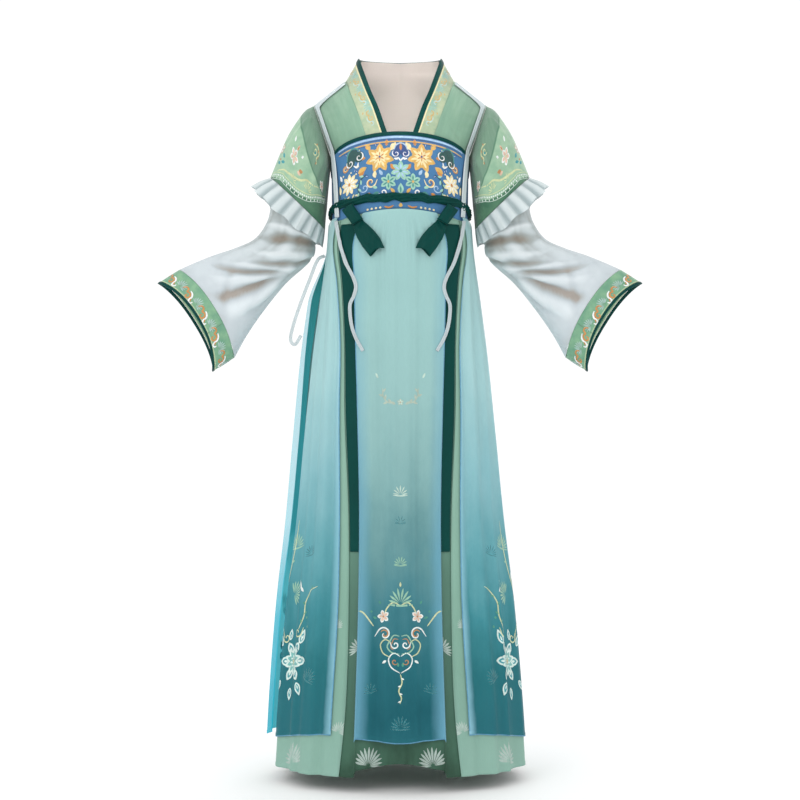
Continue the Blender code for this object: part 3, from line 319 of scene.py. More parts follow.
# Columns: x, y, drop
SIDE_TIE = (
    (-0.1640, -0.022, 0.362),
    (-0.1790, -0.030, 0.400),
    (-0.1960, -0.036, 0.445),
    (-0.2110, -0.038, 0.490),
    (-0.2170, -0.038, 0.520),
    (-0.2080, -0.039, 0.530),
    (-0.1960, -0.040, 0.512),
)
STRAP_WIDTH = 0.0085
STRAP_OUT = 0.0040
STRAP_LOW_OUT = 0.0042
STRAP_RIDGE = {"from_neck": 0.004, "from_tip": 0.003, "under": 0.0012, "narrow": 0.004}
STRAP_RIDGE_FALL = 0.0075
STRAP_BEND = {"narrow": 0.010, "fall": 0.0060}
STRAP_ARMHOLE = {"inset": 0.0012, "slant": 0.002}
STRAP_ARMHOLE_DROPS = (0.064, 0.078, 0.094, 0.112, 0.130, 0.146)
# Columns: drop, x
STRAP_CHEST = (
    (0.1720, 0.1325),
    (0.2000, 0.1298),
    (0.2380, 0.1275),
    (0.2806, 0.1255),
)

# Curves and sections


def smooth_rows(xs, ys, at):
    """A smooth curve through rows of values, level beyond its ends."""
    xs = np.asarray(xs, float)
    ys = np.asarray(ys, float)
    slopes = np.gradient(ys, xs, axis=0)
    at = np.clip(at, xs[0], xs[-1])
    i = np.clip(np.searchsorted(xs, at) - 1, 0, len(xs) - 2)
    step = xs[i + 1] - xs[i]
    t = (at - xs[i]) / step
    more = (...,) + (None,) * (ys.ndim - 1)
    t, step = t[more], step[more]
    rise = ys[i] * (1 + 2 * t) * (1 - t) ** 2 + ys[i + 1] * t**2 * (3 - 2 * t)
    return rise + step * (slopes[i] * t * (1 - t) ** 2 + slopes[i + 1] * t**2 * (t - 1))


def column(table, names, name):
    return np.array([row[names.index(name)] for row in table])


def body(name, drop):
    return smooth_rows(column(BODY, BODY_COLUMNS, "drop"), column(BODY, BODY_COLUMNS, name), drop)


def edge_x(name, drop):
    drops = column(EDGES, EDGE_COLUMNS, "drop")
    return smooth_rows(drops, column(EDGES, EDGE_COLUMNS, name), drop)


def soft_bump(distance):
    return np.cos(np.clip(np.abs(distance), 0, 1) * math.pi / 2) ** 2


def soft_step(t):
    t = np.clip(t, 0, 1)
    return t * t * (3 - 2 * t)


def angle_at(x, drop):
    n = body("squareness", drop)
    q = np.clip(x / body("half_width", drop), 0, 0.9999)
    return np.arctan2(q, (1 - q**n) ** (1 / n))


def wrap(angle, drop, out):
    """Points of the body section at the angles, moved out level and square to it."""
    n = body("squareness", drop)
    width = body("half_width", drop)
    depth = np.where(np.cos(angle) > 0, body("front", drop), body("back", drop))
    across = np.sin(angle)
    along = np.cos(angle)
    reach = (np.abs(across) ** n + np.abs(along) ** n) ** (1 / n)
    x = width * across / reach
    y = -depth * along / reach
    normal_x = np.sign(x) * np.abs(x / width) ** (n - 1) / width
    normal_y = np.sign(y) * np.abs(y / depth) ** (n - 1) / depth
    length = np.hypot(normal_x, normal_y)
    return np.stack([x + out * normal_x / length, y + out * normal_y / length, -drop], axis=-1)


def line_angles(drop):
    apron = edge_x("apron", drop)
    zero = np.zeros_like(drop)
    edges = [
        zero,
        angle_at(apron - TAIL_TUCK, drop),
        angle_at(apron, drop),
        angle_at(edge_x("back_sheet", drop), drop),
        angle_at(edge_x("vest", drop), drop),
        zero + math.pi / 2,
        zero + math.pi,
    ]
    return np.stack(edges, axis=-1)


def line_angle(line, drop):
    lines = line_angles(drop)
    place = np.abs(line)
    low = np.clip(np.floor(place).astype(int), 0, 5)
    part = place - low
    start = np.take_along_axis(lines, low[..., None], -1)[..., 0]
    end = np.take_along_axis(lines, low[..., None] + 1, -1)[..., 0]
    return np.sign(line) * (start * (1 - part) + end * part)


def fold_depth(line, drop):
    total = np.zeros_like(drop)
    for at, half_width, depth, start in FOLDS:
        away = line - at
        away = np.where(np.abs(away) > BACK_LINE, away - np.sign(away) * 2 * BACK_LINE, away)
        grown = np.clip((drop - start) / (HEM_DROP - start), 0, 1) ** 0.8
        total = total + depth * grown * soft_bump(away / half_width)
    return total


def waist_table():
    """Metres round the waist at each place in lines, from the centre front."""
    lines = np.linspace(0, BACK_LINE, 601)
    drop = np.full_like(lines, 0.60)
    run = wrap(line_angle(lines, drop), drop, 0.0)
    steps = np.linalg.norm(np.diff(run, axis=0), axis=1)
    return lines, np.concatenate([[0.0], np.cumsum(steps)])


WAIST_LINES, WAIST = waist_table()
HALF_WAIST = WAIST[-1]


def waist_at(line):
    return np.sign(line) * np.interp(np.abs(line), WAIST_LINES, WAIST)


def line_of(waist):
    return np.sign(waist) * np.interp(np.abs(waist), WAIST, WAIST_LINES)


def hidden_creases():
    """The same kind of creases round the sides and back, uneven in size and place."""
    rows = []
    count = HIDDEN_CREASES["count"]
    span = 2 * (HALF_WAIST - HIDDEN_CREASES["from"])
    for i in range(count):
        at = HIDDEN_CREASES["from"] + span * (i + RANDOM.uniform(0.2, 0.8)) / count
        at = at if at < HALF_WAIST else at - 2 * HALF_WAIST
        depth = RANDOM.uniform(*HIDDEN_CREASES["depth"]) * (1 if i % 2 else -1)
        start = RANDOM.uniform(0.30, 0.46)
        rows.append((at, RANDOM.uniform(-0.012, 0.012), RANDOM.uniform(*HIDDEN_CREASES["width"]),
                     depth, start, start + RANDOM.uniform(0.15, 0.5)))
    return rows


def gathers():
    """Small gathers below the chest band: place, half width, depth and end drop."""
    rows = []
    for i in range(GATHERS["count"]):
        at = -HALF_WAIST + 2 * HALF_WAIST * (i + RANDOM.uniform(0.1, 0.9)) / GATHERS["count"]
        rows.append((at, RANDOM.uniform(*GATHERS["width"]), RANDOM.uniform(*GATHERS["depth"]),
                     RANDOM.uniform(0.33, 0.62)))
    return rows


ALL_CREASES = list(CREASES) + hidden_creases()
ALL_GATHERS = gathers()


def creases(line, drop):
    """Relief that every skirt layer shares, so that the layers keep apart."""
    place = waist_at(line)
    total = np.zeros_like(drop)
    for at, drift, half_width, depth, start, full in ALL_CREASES:
        middle = at + drift * soft_step((drop - start) / (HEM_DROP - start))
        away = place - middle
        away = np.where(np.abs(away) > HALF_WAIST, away - np.sign(away) * 2 * HALF_WAIST, away)
        total += depth * soft_step((drop - start) / (full - start)) * soft_bump(away / half_width)
    for at, half_width, depth, end in ALL_GATHERS:
        begun = soft_step((drop - 0.272) / 0.03) * (1 - soft_step((drop - 0.31) / (end - 0.31)))
        total += depth * begun * soft_bump((place - at) / half_width)
    return total


def skirt(line, drop, out):
    line = np.asarray(line, float)
    drop = np.asarray(drop, float)
    relief = fold_depth(line, drop) + creases(line, drop)
    return wrap(line_angle(line, drop), drop, relief + out)


def line_at(x, drop):
    """Lines where the front of the skirt has the half widths x, one for each drop."""
    lines = line_angles(drop)
    angle = angle_at(np.abs(x), drop)
    low = np.clip((angle[..., None] >= lines).sum(axis=-1) - 1, 0, 5)
    start = np.take_along_axis(lines, low[..., None], -1)[..., 0]
    end = np.take_along_axis(lines, low[..., None] + 1, -1)[..., 0]
    return np.sign(x) * (low + (angle - start) / (end - start))


def grid_normals(points, closed, centre=None):
    """Unit normals of a grid of rows and columns, away from centre."""
    if closed:
        across = np.roll(points, -1, axis=1) - np.roll(points, 1, axis=1)
        centre = points.mean(axis=1, keepdims=True)
    else:
        across = np.gradient(points, axis=1)
    normal = np.cross(across, np.gradient(points, axis=0))
    normal /= np.maximum(np.linalg.norm(normal, axis=2, keepdims=True), 1e-12)
    return normal * (1.0 if ((points - centre) * normal).sum() > 0 else -1.0)


# Meshes and pieces


def measured(points):
    """Metres across and along the cloth at each point of a grid."""
    across = np.linalg.norm(np.diff(points, axis=1), axis=2)
    along = np.linalg.norm(np.diff(points, axis=0), axis=2)
    u = np.concatenate([np.zeros((points.shape[0], 1)), np.cumsum(across, axis=1)], axis=1)
    v = np.concatenate([np.zeros((1, points.shape[1])), np.cumsum(along, axis=0)], axis=0)
    return u - u[:, -1:] / 2, v


def finish_piece(thing, replaced=()):
    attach(thing, BODY_NAME)
    if replaced:
        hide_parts(*replaced)
    return thing


def new_mesh(name, points, faces, materials, uvs, face_materials=None):
    """An object from arrays; uvs holds one list of corner places for each map."""
    mesh = bpy.data.meshes.new(name)
    mesh.from_pydata(points.tolist(), [], faces.tolist())
    for label, corners in uvs.items():
        layer = mesh.uv_layers.new(name=label)
        layer.data.foreach_set("uv", corners.astype(np.float32).ravel())
    for item in materials:
        mesh.materials.append(item)
    if face_materials is not None:
        mesh.polygons.foreach_set("material_index", face_materials.astype(np.int32))
    mesh.polygons.foreach_set("use_smooth", np.ones(len(faces), bool))
    mesh.update()
    thing = bpy.data.objects.new(name, mesh)
    bpy.context.scene.collection.objects.link(thing)
    return thing


def cloth_mesh(name, outer, inner, material, closed=False, zones=None, folds=None):
    """A cloth shell between two grids, or one thin surface where inner is None.

    folds is a grid of fold heights from 0 to 1, by which a material can paint shade in the troughs and highlight on the
    ridges.
    """
    rows, columns = outer.shape[:2]
    span = columns if closed else columns - 1
    r, c = [a.ravel() for a in np.meshgrid(np.arange(rows - 1), np.arange(span), indexing="ij")]
    d = (c + 1) % columns
    faces = np.stack([r * columns + c, (r + 1) * columns + c, (r + 1) * columns + d,
                      r * columns + d], axis=1)
    at_r = np.stack([r, r + 1, r + 1, r], axis=1)
    at_c = np.stack([c, c, c + 1, c + 1], axis=1)
    points = outer.reshape(-1, 3)
    if inner is not None:
        shift = rows * columns
        points = np.concatenate([points, inner.reshape(-1, 3)])
        sets = [(faces, at_r, at_c), (faces[:, ::-1] + shift, at_r[:, ::-1], at_c[:, ::-1])]
        c = np.arange(span)
        d = (c + 1) % columns
        for row, flip in ((0, False), (rows - 1, True)):
            base = row * columns
            rim = np.stack([base + c, base + d, base + d + shift, base + c + shift], axis=1)
            rim_c = np.stack([c, c + 1, c + 1, c], axis=1)
            rim, rim_c = (rim[:, ::-1], rim_c[:, ::-1]) if flip else (rim, rim_c)
            sets.append((rim, np.full_like(rim, row), rim_c))
        if not closed:
            r = np.arange(rows - 1)
            for col, flip in ((0, True), (columns - 1, False)):
                a, b = r * columns + col, (r + 1) * columns + col
                rim = np.stack([a, b, b + shift, a + shift], axis=1)
                rim_r = np.stack([r, r + 1, r + 1, r], axis=1)
                rim, rim_r = (rim[:, ::-1], rim_r[:, ::-1]) if flip else (rim, rim_r)
                sets.append((rim, rim_r, np.full_like(rim, col)))
        faces, at_r, at_c = [np.concatenate([part[i] for part in sets]) for i in range(3)]
        corners = points[faces]
        halves = np.cross(corners[:, 2] - corners[:, 0], corners[:, 3] - corners[:, 1])
        if (corners.mean(axis=1) * halves).sum() < 0:
            faces, at_r, at_c = faces[:, ::-1], at_r[:, ::-1], at_c[:, ::-1]
    whole = np.concatenate([outer, outer[:, :1]], axis=1) if closed else outer
    u, v = measured(whole)
    metres = np.stack([u[at_r, at_c], v[at_r, at_c]], axis=-1)
    share = np.stack([at_c / span, at_r / (rows - 1)], axis=-1)
    materials = material if isinstance(material, (list, tuple)) else [material]
    picks = None
    if zones is not None:
        picks = zones(share.mean(axis=1), metres.mean(axis=1))
    maps = {"metres": metres, "share": share}
    if folds is not None:
        maps["folds"] = np.stack([folds[at_r, at_c % columns], at_r / (rows - 1)], axis=-1)
    return new_mesh(name, points, faces, materials, maps, picks)


def row_shares(rows, length):
    """Even rows with a few close ones where the hem is turned."""
    turned = HEM_FOLD / length
    even = np.linspace(0, 1 - 1.4 * turned, rows)
    return np.concatenate([even, 1 - turned * np.array((1.15, 1.0, 0.85, 0.45, 0.12, 0.0))])


def hem_lift(shares, length):
    """The turned hem stands a little proud of the cloth above it."""
    from_edge = (1 - shares) * length / HEM_FOLD
    return 0.0006 * (1 - soft_step((from_edge - 0.85) / 0.3)) * np.sqrt(np.clip(from_edge * 6, 0, 1))


def skirt_grids(first, last, top, bottom, out, thick, columns, rows, extra=None):
    """Outer and inner grids of a skirt layer between two lines and two drops."""
    ends = [waist_at(np.array(first)), waist_at(np.array(min(last, BACK_LINE)))]
    if last > BACK_LINE:
        ends[1] = 2 * HALF_WAIST - waist_at(np.array(2 * BACK_LINE - last))
    waist = np.linspace(ends[0], ends[1], columns)
    waist = np.where(waist > HALF_WAIST, waist - 2 * HALF_WAIST, waist)
    lines = line_of(waist)
    high, low = top(lines), bottom(lines)
    length = float((low - high).mean())
    share = row_shares(rows, length)[:, None]
    drop = high[None, :] * (1 - share) + low[None, :] * share
    line = np.broadcast_to(lines, drop.shape)
    shift = out + hem_lift(share, length) + (extra(line, drop) if extra else 0.0)
    inner = skirt(line, drop, shift - thick) if thick else None
    return skirt(line, drop, shift), inner


def bodice_top(lines):
    angle = line_angle(lines, np.full_like(lines, 0.15))
    turn = 1 - np.cos(np.minimum(np.abs(angle), math.pi / 2))
    return BODICE_TOP_DROP + BODICE_CURVE * turn + BODICE_SHOULDER * turn**4


def skirt_top(lines):
    angle = line_angle(lines, np.full_like(lines, 0.28))
    return SKIRT_TOP_DROP + SKIRT_SIDE_FALL * np.sin(np.minimum(np.abs(angle), math.pi / 2)) ** 2


def ribbon_drop(lines):
    angle = line_angle(lines, np.full_like(lines, 0.26))
    return RIBBON_DROP + RIBBON_FALL * (1 - np.cos(np.minimum(np.abs(angle), math.pi / 2)))


def hem(lines):
    return HEM_DROP - HEM_RISE["height"] * soft_bump(lines / HEM_RISE["half_width"])


def centre_fold(line, drop):
    grown = soft_step((drop - CENTRE_FOLD["start"]) / (HEM_DROP - CENTRE_FOLD["start"]))
    return -CENTRE_FOLD["depth"] * grown * soft_bump(line / CENTRE_FOLD["half_width"])


def vest_hem(lines):
    side = soft_step((np.minimum(np.abs(lines), SIDE_LINE) - VEST_LINE) / (SIDE_LINE - VEST_LINE))
    return VEST_HEM_FRONT + (VEST_HEM_SIDE - VEST_HEM_FRONT) * side


def slit_flare(line, drop):
    grown = soft_step((drop - SLIT_FLARE["start"]) / (SLIT_FLARE["full"] - SLIT_FLARE["start"]))
    return SLIT_FLARE["depth"] * grown * soft_bump((line - SLIT_FLARE["line"]) / SLIT_FLARE["half_width"])


def corner_ease(line, drop):
    fade = 1 - soft_step((drop - CORNER_EASE["start"]) / CORNER_EASE["fade"])
    away = (np.abs(line) - CORNER_EASE["line"]) / CORNER_EASE["half_width"]
    return CORNER_EASE["depth"] * fade * soft_bump(away)


# Materials


def colour(code):
    """Linear values of a colour written as six hexadecimal digits."""
    parts = [int(code[i:i + 2], 16) / 255 for i in (0, 2, 4)]
    return (*[p / 12.92 if p <= 0.04045 else ((p + 0.055) / 1.055) ** 2.4 for p in parts], 1.0)


def add(tree, kind, **inputs):
    node = tree.nodes.new(kind)
    for key, value in inputs.items():
        node.inputs[key.replace("_", " ")].default_value = value
    return node


def mixed(tree, blend, factor, first, second):
    """A colour mix; each of factor, first and second is a socket or a value."""
    node = tree.nodes.new("ShaderNodeMix")
    node.data_type = "RGBA"
    node.blend_type = blend
    for index, item in ((0, factor), (6, first), (7, second)):
        if isinstance(item, bpy.types.NodeSocket):
            tree.links.new(item, node.inputs[index])
        else:
            node.inputs[index].default_value = item
    return node.outputs[2]


def maths(tree, operation, first, second=0.0):
    node = tree.nodes.new("ShaderNodeMath")
    node.operation = operation
    for index, item in ((0, first), (1, second)):
        if isinstance(item, bpy.types.NodeSocket):
            tree.links.new(item, node.inputs[index])
        else:
            node.inputs[index].default_value = item
    return node.outputs[0]


def ramp(tree, factor, stops):
    node = tree.nodes.new("ShaderNodeValToRGB")
    tree.links.new(factor, node.inputs[0])
    points = node.color_ramp.elements
    points.remove(points[1])
    points[0].position = stops[0][0]
    for at, _ in stops[1:]:
        points.new(at)
    for point, (_, value) in zip(points, stops):
        point.color = value if len(value) == 4 else (*value, 1.0)
    return node.outputs[0]


def level(tree, factor, low, high, start=0.0, end=1.0):
    node = tree.nodes.new("ShaderNodeMapRange")
    tree.links.new(factor, node.inputs[0])
    for index, value in enumerate((low, high, start, end), 1):
        node.inputs[index].default_value = value
    return node.outputs[0]


def noise(tree, place, scale, detail=3.0, roughness=0.55, stretch=None):
    if stretch:
        mapping = tree.nodes.new("ShaderNodeMapping")
        mapping.inputs["Scale"].default_value = stretch
        tree.links.new(place, mapping.inputs["Vector"])
        place = mapping.outputs["Vector"]
    node = add(tree, "ShaderNodeTexNoise", Scale=scale, Detail=detail, Roughness=roughness)
    tree.links.new(place, node.inputs["Vector"])
    return node.outputs["Fac"]


def map_parts(tree, label):
    """The coordinates of one of the mesh's maps, each on an output of its own."""
    source = tree.nodes.new("ShaderNodeUVMap")
    source.uv_map = label
    split = tree.nodes.new("ShaderNodeSeparateXYZ")
    tree.links.new(source.outputs[0], split.inputs[0])
    return split


def bands(tree, place, pitch, direction):
    """Soft stripes with the pitch in metres, for threads and pleats."""
    node = add(tree, "ShaderNodeTexWave", Scale=math.pi / (10 * pitch), Distortion=0.0)
    node.bands_direction = direction
    tree.links.new(place, node.inputs["Vector"])
    return node.outputs["Fac"]


def fabric(name, base, roughness=0.8, sheen=0.25, thread=0.0009, weave=0.25, slub=0.35,
           mottle=0.08, alpha=1.0, painter=None, crepe=0.0, shine=0.25, glow=0.0, dense=None):
    """Woven cloth: base colour with uneven dye, crossed threads, slubs and a soft sheen.

    glow is the share of light that comes through from behind, and dense holds two
    drops and the alpha at the lower one, where the dye makes a sheer cloth less so.
    """
    made = bpy.data.materials.new(name)
    made.use_nodes = True
    tree = made.node_tree
    shader = tree.nodes["Principled BSDF"]
    uv = tree.nodes.new("ShaderNodeUVMap")
    uv.uv_map = "metres"
    flat = uv.outputs[0]
    solid = tree.nodes.new("ShaderNodeTexCoord").outputs["Object"]
    tone = painter(tree, flat, solid) if painter else colour(base)
    cloudy = level(tree, noise(tree, solid, 9.0, 4.0), 0.3, 0.7, 1 - mottle, 1 + mottle / 2)
    grain = level(tree, noise(tree, flat, 1.0, 2.0, 0.6, (900.0, 90.0, 1.0)), 0.25, 0.75,
                  1 - mottle * 0.7, 1 + mottle * 0.5)
    tone = mixed(tree, "MULTIPLY", 1.0, tone, gray(tree, maths(tree, "MULTIPLY", cloudy, grain)))
    tree.links.new(tone, shader.inputs["Base Color"])
    threads = maths(tree, "MULTIPLY", bands(tree, flat, thread, "X"), bands(tree, flat, thread, "Y"))
    slubs = noise(tree, flat, 1.0, 3.0, 0.6, (160.0, 1400.0, 1.0))
    height = maths(tree, "ADD", maths(tree, "MULTIPLY", threads, weave),
                   maths(tree, "MULTIPLY", slubs, slub))
    if crepe:
        puckers = noise(tree, flat, 1.0, 3.0, 0.6, (220.0, 40.0, 1.0))
        height = maths(tree, "ADD", height, maths(tree, "MULTIPLY", puckers, crepe))
    bump = add(tree, "ShaderNodeBump", Strength=0.5, Distance=0.0006)
    tree.links.new(height, bump.inputs["Height"])
    tree.links.new(bump.outputs["Normal"], shader.inputs["Normal"])
    tree.links.new(level(tree, slubs, 0.2, 0.8, roughness - 0.08, roughness + 0.08),
                   shader.inputs["Roughness"])
    shader.inputs["Sheen Weight"].default_value = sheen
    shader.inputs["Sheen Roughness"].default_value = 0.45
    shader.inputs["Specular IOR Level"].default_value = shine if alpha == 1.0 else 0.08
    shader.inputs["Alpha"].default_value = alpha
    if dense:
        parts = tree.nodes.new("ShaderNodeSeparateXYZ")
        tree.links.new(solid, parts.inputs[0])
        tree.links.new(level(tree, parts.outputs[2], -dense[1], -dense[0], dense[2], alpha),
                       shader.inputs["Alpha"])
    if glow:
        through = tree.nodes.new("ShaderNodeBsdfTranslucent")
        tree.links.new(tone, through.inputs["Color"])
        both = add(tree, "ShaderNodeMixShader", Fac=glow)
        tree.links.new(shader.outputs[0], both.inputs[1])
        tree.links.new(through.outputs[0], both.inputs[2])
        tree.links.new(both.outputs[0], tree.nodes["Material Output"].inputs["Surface"])
    return made


def gray(tree, value):
    node = tree.nodes.new("ShaderNodeCombineColor")
    for index in range(3):
        tree.links.new(value, node.inputs[index])
    return node.outputs[0]


def dip_dye(stops, edge=None, edge_from=0.030, edge_to=0.075, streak=0.05, cloud=0.10):
    """Colour that changes down the cloth with a watery edge, and lighter towards its sides."""

    def paint(tree, flat, solid):
        parts = tree.nodes.new("ShaderNodeSeparateXYZ")
        tree.links.new(solid, parts.inputs[0])
        wash = maths(tree, "SUBTRACT", noise(tree, solid, 1.0, 5.0, 0.62, (13.0, 13.0, 8.0)), 0.5)
        runs = maths(tree, "SUBTRACT", noise(tree, solid, 1.0, 3.0, 0.5, (42.0, 42.0, 1.6)), 0.5)
        drop = maths(tree, "MULTIPLY", parts.outputs[2], -1.0)
        drop = maths(tree, "ADD", drop, maths(tree, "MULTIPLY", wash, cloud * 2))
        drop = maths(tree, "ADD", drop, maths(tree, "MULTIPLY", runs, streak * 2))
        tone = ramp(tree, level(tree, drop, 0.25, 1.40),
                    [((at - 0.25) / 1.15, colour(code)) for at, code in stops])
        if edge:
            split = map_parts(tree, "share")
            side = maths(tree, "ABSOLUTE", maths(tree, "SUBTRACT", split.outputs[0], 0.5))
            side = maths(tree, "ADD", side, maths(tree, "MULTIPLY", wash, 0.10))
            light = level(tree, side, edge_from, edge_to)
            down = level(tree, drop, 0.40, 1.30, 0.35, 1.0)
            tone = mixed(tree, "MIX", maths(tree, "MULTIPLY", light, down), tone, colour(edge))
        return tone

    return paint


def thread_finish(name, code, alpha=1.0, roughness=0.42):
    """Silk floss: fine stripes along each stitch, with a satin shine."""
    made = bpy.data.materials.new(name)
    made.use_nodes = True
    tree = made.node_tree
    shader = tree.nodes["Principled BSDF"]
    uv = tree.nodes.new("ShaderNodeUVMap")
    uv.uv_map = "metres"
    solid = tree.nodes.new("ShaderNodeTexCoord").outputs["Object"]
    stripes = bands(tree, uv.outputs[0], 0.0007, "DIAGONAL")
    varied = level(tree, noise(tree, solid, 160.0, 2.0), 0.3, 0.7, 0.82, 1.08)
    tone = mixed(tree, "MULTIPLY", 1.0, colour(code), gray(tree, varied))
    tree.links.new(tone, shader.inputs["Base Color"])
    bump = add(tree, "ShaderNodeBump", Strength=0.6, Distance=0.0003)
    tree.links.new(stripes, bump.inputs["Height"])
    tree.links.new(bump.outputs["Normal"], shader.inputs["Normal"])
    tree.links.new(level(tree, stripes, 0.0, 1.0, roughness + 0.15, roughness - 0.05),
                   shader.inputs["Roughness"])
    shader.inputs["Sheen Weight"].default_value = 0.3
    shader.inputs["Alpha"].default_value = alpha
    return made


# Prints and embroidery: strokes on the flat, laid on the cloth


def open_shell(points, normals, closed=False, middle=0):
    """A grid on which strokes can be laid, with metres from its middle column and top."""
    if closed:
        columns = points.shape[1]
        order = (np.arange(columns + 1) + middle - columns // 2) % columns
        points, normals = points[:, order], normals[:, order]
    u, v = measured(points)
    middle_column = points.shape[1] // 2
    u = u - u[:, middle_column:middle_column + 1]
    return {"points": points, "normals": normals, "u": u, "v": v}


def sampled(grid, r, c):
    rows, columns = grid.shape[:2]
    r = np.clip(r, 0, rows - 1.001)
    c = np.clip(c, 0, columns - 1.001)
    i, j = np.floor(r).astype(int), np.floor(c).astype(int)
    more = (...,) + (None,) * (grid.ndim - 2)
    s, t = (r - i)[more], (c - j)[more]
    top = grid[i, j] * (1 - t) + grid[i, j + 1] * t
    low = grid[i + 1, j] * (1 - t) + grid[i + 1, j + 1] * t
    return top * (1 - s) + low * s


def places_of(table, wanted, line):
    """Where the rows of the table, at fractional row numbers, have the wanted values."""
    low = np.clip(np.floor(line).astype(int), 0, len(table) - 2)
    along = np.arange(table.shape[1])
    found = np.empty_like(wanted)
    for i in np.unique(low):
        pick = low == i
        share = line[pick] - i
        found[pick] = (np.interp(wanted[pick], table[i], along) * (1 - share)
                       + np.interp(wanted[pick], table[i + 1], along) * share)
    return found


def located(shell, u, v):
    """Rows and columns of the shell at the metres u and v."""
    r = np.full_like(u, len(shell["u"]) / 2)
    for _ in range(5):
        c = places_of(shell["u"], u, r)
        r = places_of(shell["v"].T, v, c)
    return r, c


def curve_through(points, count):
    points = np.asarray(points, float)
    lengths = np.concatenate([[0.0], np.cumsum(np.linalg.norm(np.diff(points, axis=0), axis=1))])
    return smooth_rows(lengths, points, np.linspace(0, lengths[-1], count))


def stroke(points, width, tone, count=12, taper=(0.35, 0.35), lift=0):
    """A line of thread or print: points in metres, full width, and how it thins at its ends."""
    line = curve_through(points, count)
    t = np.linspace(0, 1, count)
    start = np.clip(t / 0.25, 0, 1) ** 0.6 if taper[0] < 1 else np.ones(count)
    end = np.clip((1 - t) / 0.25, 0, 1) ** 0.6 if taper[1] < 1 else np.ones(count)
    shape = (taper[0] + (1 - taper[0]) * start) * (taper[1] + (1 - taper[1]) * end)
    return {"line": line, "half": width / 2 * shape, "tone": tone, "lift": lift, "dome": 1.0}


def petal(length, width, tone, base=0.0, lift=0, point=0.8, count=9):
    """A petal or leaf that grows from the origin upwards, with its tip at -v."""
    t = np.linspace(0, 1, count)
    line = np.stack([np.zeros(count), -(base + length * t)], axis=1)
    half = width / 2 * np.sin(math.pi * np.clip(t, 0.02, 0.985) ** point) ** 0.75
    return {"line": line, "half": half, "tone": tone, "lift": lift, "dome": 1.0}


def dot(radius, tone, lift=0, dome=1.0, count=7):
    t = np.linspace(-0.97, 0.97, count)
    line = np.stack([np.zeros(count), radius * t], axis=1)
    return {"line": line, "half": radius * np.sqrt(1 - t**2), "tone": tone, "lift": lift, "dome": dome}


def placed(strokes, u=0.0, v=0.0, turn=0.0, size=1.0, flip=False):
    """Copies of strokes, sized, turned in degrees, then moved; flip mirrors them first."""
    angle = math.radians(turn)
    spin = np.array(((math.cos(angle), -math.sin(angle)), (math.sin(angle), math.cos(angle))))
    moved = []
    for item in strokes:
        line = item["line"] * size
        if flip:
            line = line * (-1, 1)
        moved.append({**item, "line": line @ spin.T + (u, v), "half": item["half"] * size})
    return moved


def both_sides(strokes):
    return strokes + [{**item, "line": item["line"] * (-1, 1)} for item in strokes]


def round_flower(radius, count, outer, inner, heart, lift=0, width=1.15, rings=1, turn=0.0):
    """Rounded petals in one or more rings about a small heart."""
    made = []
    for ring in range(rings):
        reach = radius * (1 - 0.30 * ring)
        for i in range(count):
            spin = turn + 360 * (i + 0.5 * ring) / count
            wide = 2 * math.pi * reach / count * width * 0.5
            level_up = lift + 3 * ring
            made += placed([petal(reach, wide, outer, reach * 0.08, level_up, 1.25)], turn=spin)
            made += placed([petal(reach * 0.72, wide * 0.62, inner, reach * 0.12, level_up + 1, 1.2)],
                           turn=spin)
    made.append(dot(radius * 0.17, heart, lift + 3 * rings + 1))
    return made


def curl(radius, turns, tone, width, lift=0, start=0.0, tail=0.0, count=26):
    """A spiral that opens out, as in cloud and vine scrolls."""
    t = np.linspace(0.12, 1, count)
    angle = start + turns * 2 * math.pi * t
    line = np.stack([radius * t * np.cos(angle), radius * t * np.sin(angle)], axis=1)
    if tail:
        along = line[-1] - line[-2]
        along /= np.linalg.norm(along)
        line = np.concatenate([line, [line[-1] + along * tail * 0.5, line[-1] + along * tail]])
    return stroke(line, width, tone, len(line) + 4, (0.5, 0.3), lift)


def cloud(size, line_tone, fill, lift=0, second=None):
    """A cloud head: three lobes with curled ends."""
    made = []
    for u, v, r in ((-0.30, 0.05, 0.30), (0.30, 0.05, 0.30), (0.0, -0.22, 0.36)):
        made += placed([dot(r, fill, lift)], u, v)
    made.append(curl(0.26, 1.25, line_tone, 0.085, lift + 2, 2.4))
    made[-1]["line"] = made[-1]["line"] + (-0.30, 0.06)
    made.append(curl(0.26, -1.25, line_tone, 0.085, lift + 2, 0.74))
    made[-1]["line"] = made[-1]["line"] + (0.30, 0.06)
    arch = [(-0.44, -0.16), (-0.30, -0.48), (0.0, -0.62), (0.30, -0.48), (0.44, -0.16)]
    made.append(stroke(arch, 0.09, second or line_tone, 14, (0.4, 0.4), lift + 2))
    made.append(stroke([(-0.16, 0.30), (0.0, 0.52), (0.16, 0.30)], 0.09, line_tone, 9, (0.3, 0.3), lift + 2))
    return placed(made, size=size)


def fan_leaf(radius, blades, spread, tone, lift=0, foot=True):
    """A fan of narrow blades from one foot."""
    made = []
    for i in range(blades):
        turn = spread * (i / (blades - 1) - 0.5)
        reach = radius * (1 - 0.22 * abs(2 * i / (blades - 1) - 1) ** 1.5)
        wide = radius * 0.125
        made += placed([petal(reach * 0.88, wide, tone, reach * 0.12, lift, 1.5)], turn=turn)
    if foot:
        made.append(stroke([(-radius * 0.8, radius * 0.06), (0, radius * 0.14), (radius * 0.8, radius * 0.06)],
                           radius * 0.12, tone, 9, (0.3, 0.3), lift))
    return made


